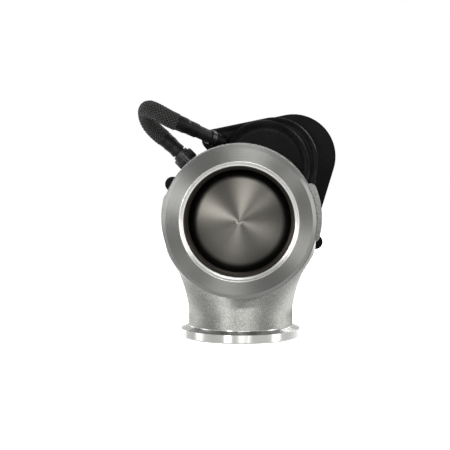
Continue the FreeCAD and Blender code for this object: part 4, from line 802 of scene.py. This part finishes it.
def cap_screw(name, shank_r, head_r, head_h, length):
    """One screw along Y: the underside of its head at zero, its tip forward and its socket to the rear."""
    levels = (
        (shank_r * TIP_SHARE, -length, "round"),
        (shank_r, -length + shank_r * TIP_CHAMFER, "round"),
        (shank_r, 0.0, "round"),
        (head_r, 0.0, "round"),
        (head_r, head_h * KNURL_FROM, "knurled"),
        (head_r, head_h * KNURL_TO, "knurled"),
        (head_r * HEAD_TOP_SHARE, head_h, "round"),
        (shank_r, head_h, "round"),
        (shank_r * SOCKET_SHARE, head_h * SOCKET_MOUTH, "hexagon"),
        (shank_r * SOCKET_SHARE, head_h * SOCKET_FLOOR, "hexagon"),
    )
    shape = bmesh.new()
    rows = []
    for radius, level, form in levels:
        row = []
        for n in range(SCREW_SIDES):
            turn = 2 * math.pi * n / SCREW_SIDES
            reach = radius
            if form == "knurled" and n % 2:
                reach = radius - KNURL_DEPTH
            if form == "hexagon":
                reach = radius * math.cos(HEX_SIXTH / 2) / math.cos(turn % HEX_SIXTH - HEX_SIXTH / 2)
            row.append(shape.verts.new((reach * math.cos(turn), level, reach * math.sin(turn))))
        rows.append(row)
    for low, high in zip(rows, rows[1:]):
        for n in range(SCREW_SIDES):
            after = (n + 1) % SCREW_SIDES
            shape.faces.new((low[n], high[n], high[after], low[after]))
    shape.faces.new(rows[0])
    shape.faces.new(rows[-1])
    bmesh.ops.recalc_face_normals(shape, faces=shape.faces)
    mesh = bpy.data.meshes.new(name)
    shape.to_mesh(mesh)
    shape.free()
    screw = bpy.data.objects.new(name, mesh)
    scene.collection.objects.link(screw)
    return screw


def screws_tree(screw, material, seed):
    """A copy of one screw on every seat, each left at its own turn by the key."""
    tree, given = node_group("screws_in_their_holes", Most_turn=1.0)
    source = node(tree, "GeometryNodeObjectInfo", {"Object": screw})
    turn = node(tree, "FunctionNodeRandomValue", {3: given.outputs["Most_turn"], "Seed": seed},
                data_type="FLOAT")
    angles = node(tree, "ShaderNodeCombineXYZ", {"Y": turn.outputs[1]})
    placed = node(tree, "GeometryNodeInstanceOnPoints", {"Points": given.outputs["Geometry"],
                                                         "Instance": source.outputs["Geometry"],
                                                         "Rotation": angles.outputs[0]})
    end_tree(tree, placed.outputs[0], material, smooth=False)
    return tree


def about(circle_r, degrees, middle=(0.0, AXIS_HEIGHT)):
    """A place across the valve axis, at an angle and a distance from a middle."""
    turn = math.radians(degrees)
    return middle[0] + circle_r * math.cos(turn), middle[1] + circle_r * math.sin(turn)


def screws_on(name, node_name, seats, sizes, seed):
    """Screws with their heads on the given seats, each an (across, height) place and a depth."""
    screw = cap_screw(name + "_pattern", *sizes)
    mesh = bpy.data.meshes.new(name + "_seats")
    mesh.from_pydata([(x, depth, z) for (x, z), depth in seats], [], [])
    points = bpy.data.objects.new(name + "_seats", mesh)
    scene.collection.objects.link(points)
    screws = made_by(screws_tree(screw, black_oxide, seed), points, name, black_oxide, Most_turn=2 * math.pi)
    bpy.data.objects.remove(screw)
    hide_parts(node_name)
    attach(screws, "frame")


BODY_BOLT_R = 0.003
BODY_BOLT_HEAD_R = 0.0048
BODY_BOLT_HEAD_H = 0.006
BODY_BOLT_CIRCLE_R = 0.0463
BODY_BOLT_SPREAD = 14.0
LUG_TILT = 4.0

bolts_low, bolts_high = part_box("body_bolts")
body_seat = bolts_high[1] - BODY_BOLT_HEAD_H
body_seats = [
    (about(BODY_BOLT_CIRCLE_R, side + LUG_TILT + spread), body_seat)
    for side in (0.0, 180.0)
    for spread in (-BODY_BOLT_SPREAD, BODY_BOLT_SPREAD)
]
screws_on("body_cap_screws", "body_bolts", body_seats,
          (BODY_BOLT_R, BODY_BOLT_HEAD_R, BODY_BOLT_HEAD_H, body_seat - bolts_low[1]), seed=3)

COVER_SCREW_R = 0.002
COVER_SCREW_HEAD_R = 0.0035
COVER_SCREW_HEAD_H = 0.004
EAR_CIRCLE_R = 0.0542
EAR_ANGLES = (156.0, 206.0, 252.0, 296.0, 340.0)
EARS_BELOW_RIM = 0.015
LOBE_MIDDLE = (0.0353, AXIS_HEIGHT + 0.0413)
LOBE_SCREW_R = 0.0244
LOBE_SCREW_ANGLES = (-12.0, 38.0, 88.0)
CORNER_SCREW = (-0.0202, AXIS_HEIGHT + 0.0519)

cover_low, cover_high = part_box("cover_screws")
rim_seat = cover_high[1] - COVER_SCREW_HEAD_H
ear_seat = rim_seat - EARS_BELOW_RIM
ear_seats = [(about(EAR_CIRCLE_R, angle), ear_seat) for angle in EAR_ANGLES]
rim_seats = [(about(LOBE_SCREW_R, angle, LOBE_MIDDLE), rim_seat) for angle in LOBE_SCREW_ANGLES]
rim_seats.append((CORNER_SCREW, rim_seat))
for label, seats, depth, seed in (("ear", ear_seats, ear_seat, 5), ("rim", rim_seats, rim_seat, 6)):
    screws_on("cover_" + label + "_screws", "cover_screws", seats,
              (COVER_SCREW_R, COVER_SCREW_HEAD_R, COVER_SCREW_HEAD_H, depth - cover_low[1]), seed)

CAP_SCREW_R = 0.0015
CAP_SCREW_HEAD_R = 0.0028
CAP_SCREW_HEAD_H = 0.0028
CAP_SCREW_CIRCLE_R = 0.0132
CAP_SCREW_ANGLES = (90.0, 210.0, 330.0)

cap_low, cap_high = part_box("sensor_cap_screws")
cap_seat = cap_high[1] - CAP_SCREW_HEAD_H
cap_seats = [(about(CAP_SCREW_CIRCLE_R, angle), cap_seat) for angle in CAP_SCREW_ANGLES]
screws_on("cap_socket_screws", "sensor_cap_screws", cap_seats,
          (CAP_SCREW_R, CAP_SCREW_HEAD_R, CAP_SCREW_HEAD_H, cap_seat - cap_low[1]), seed=8)
dress(black_oxide, "gearcase_bolts")
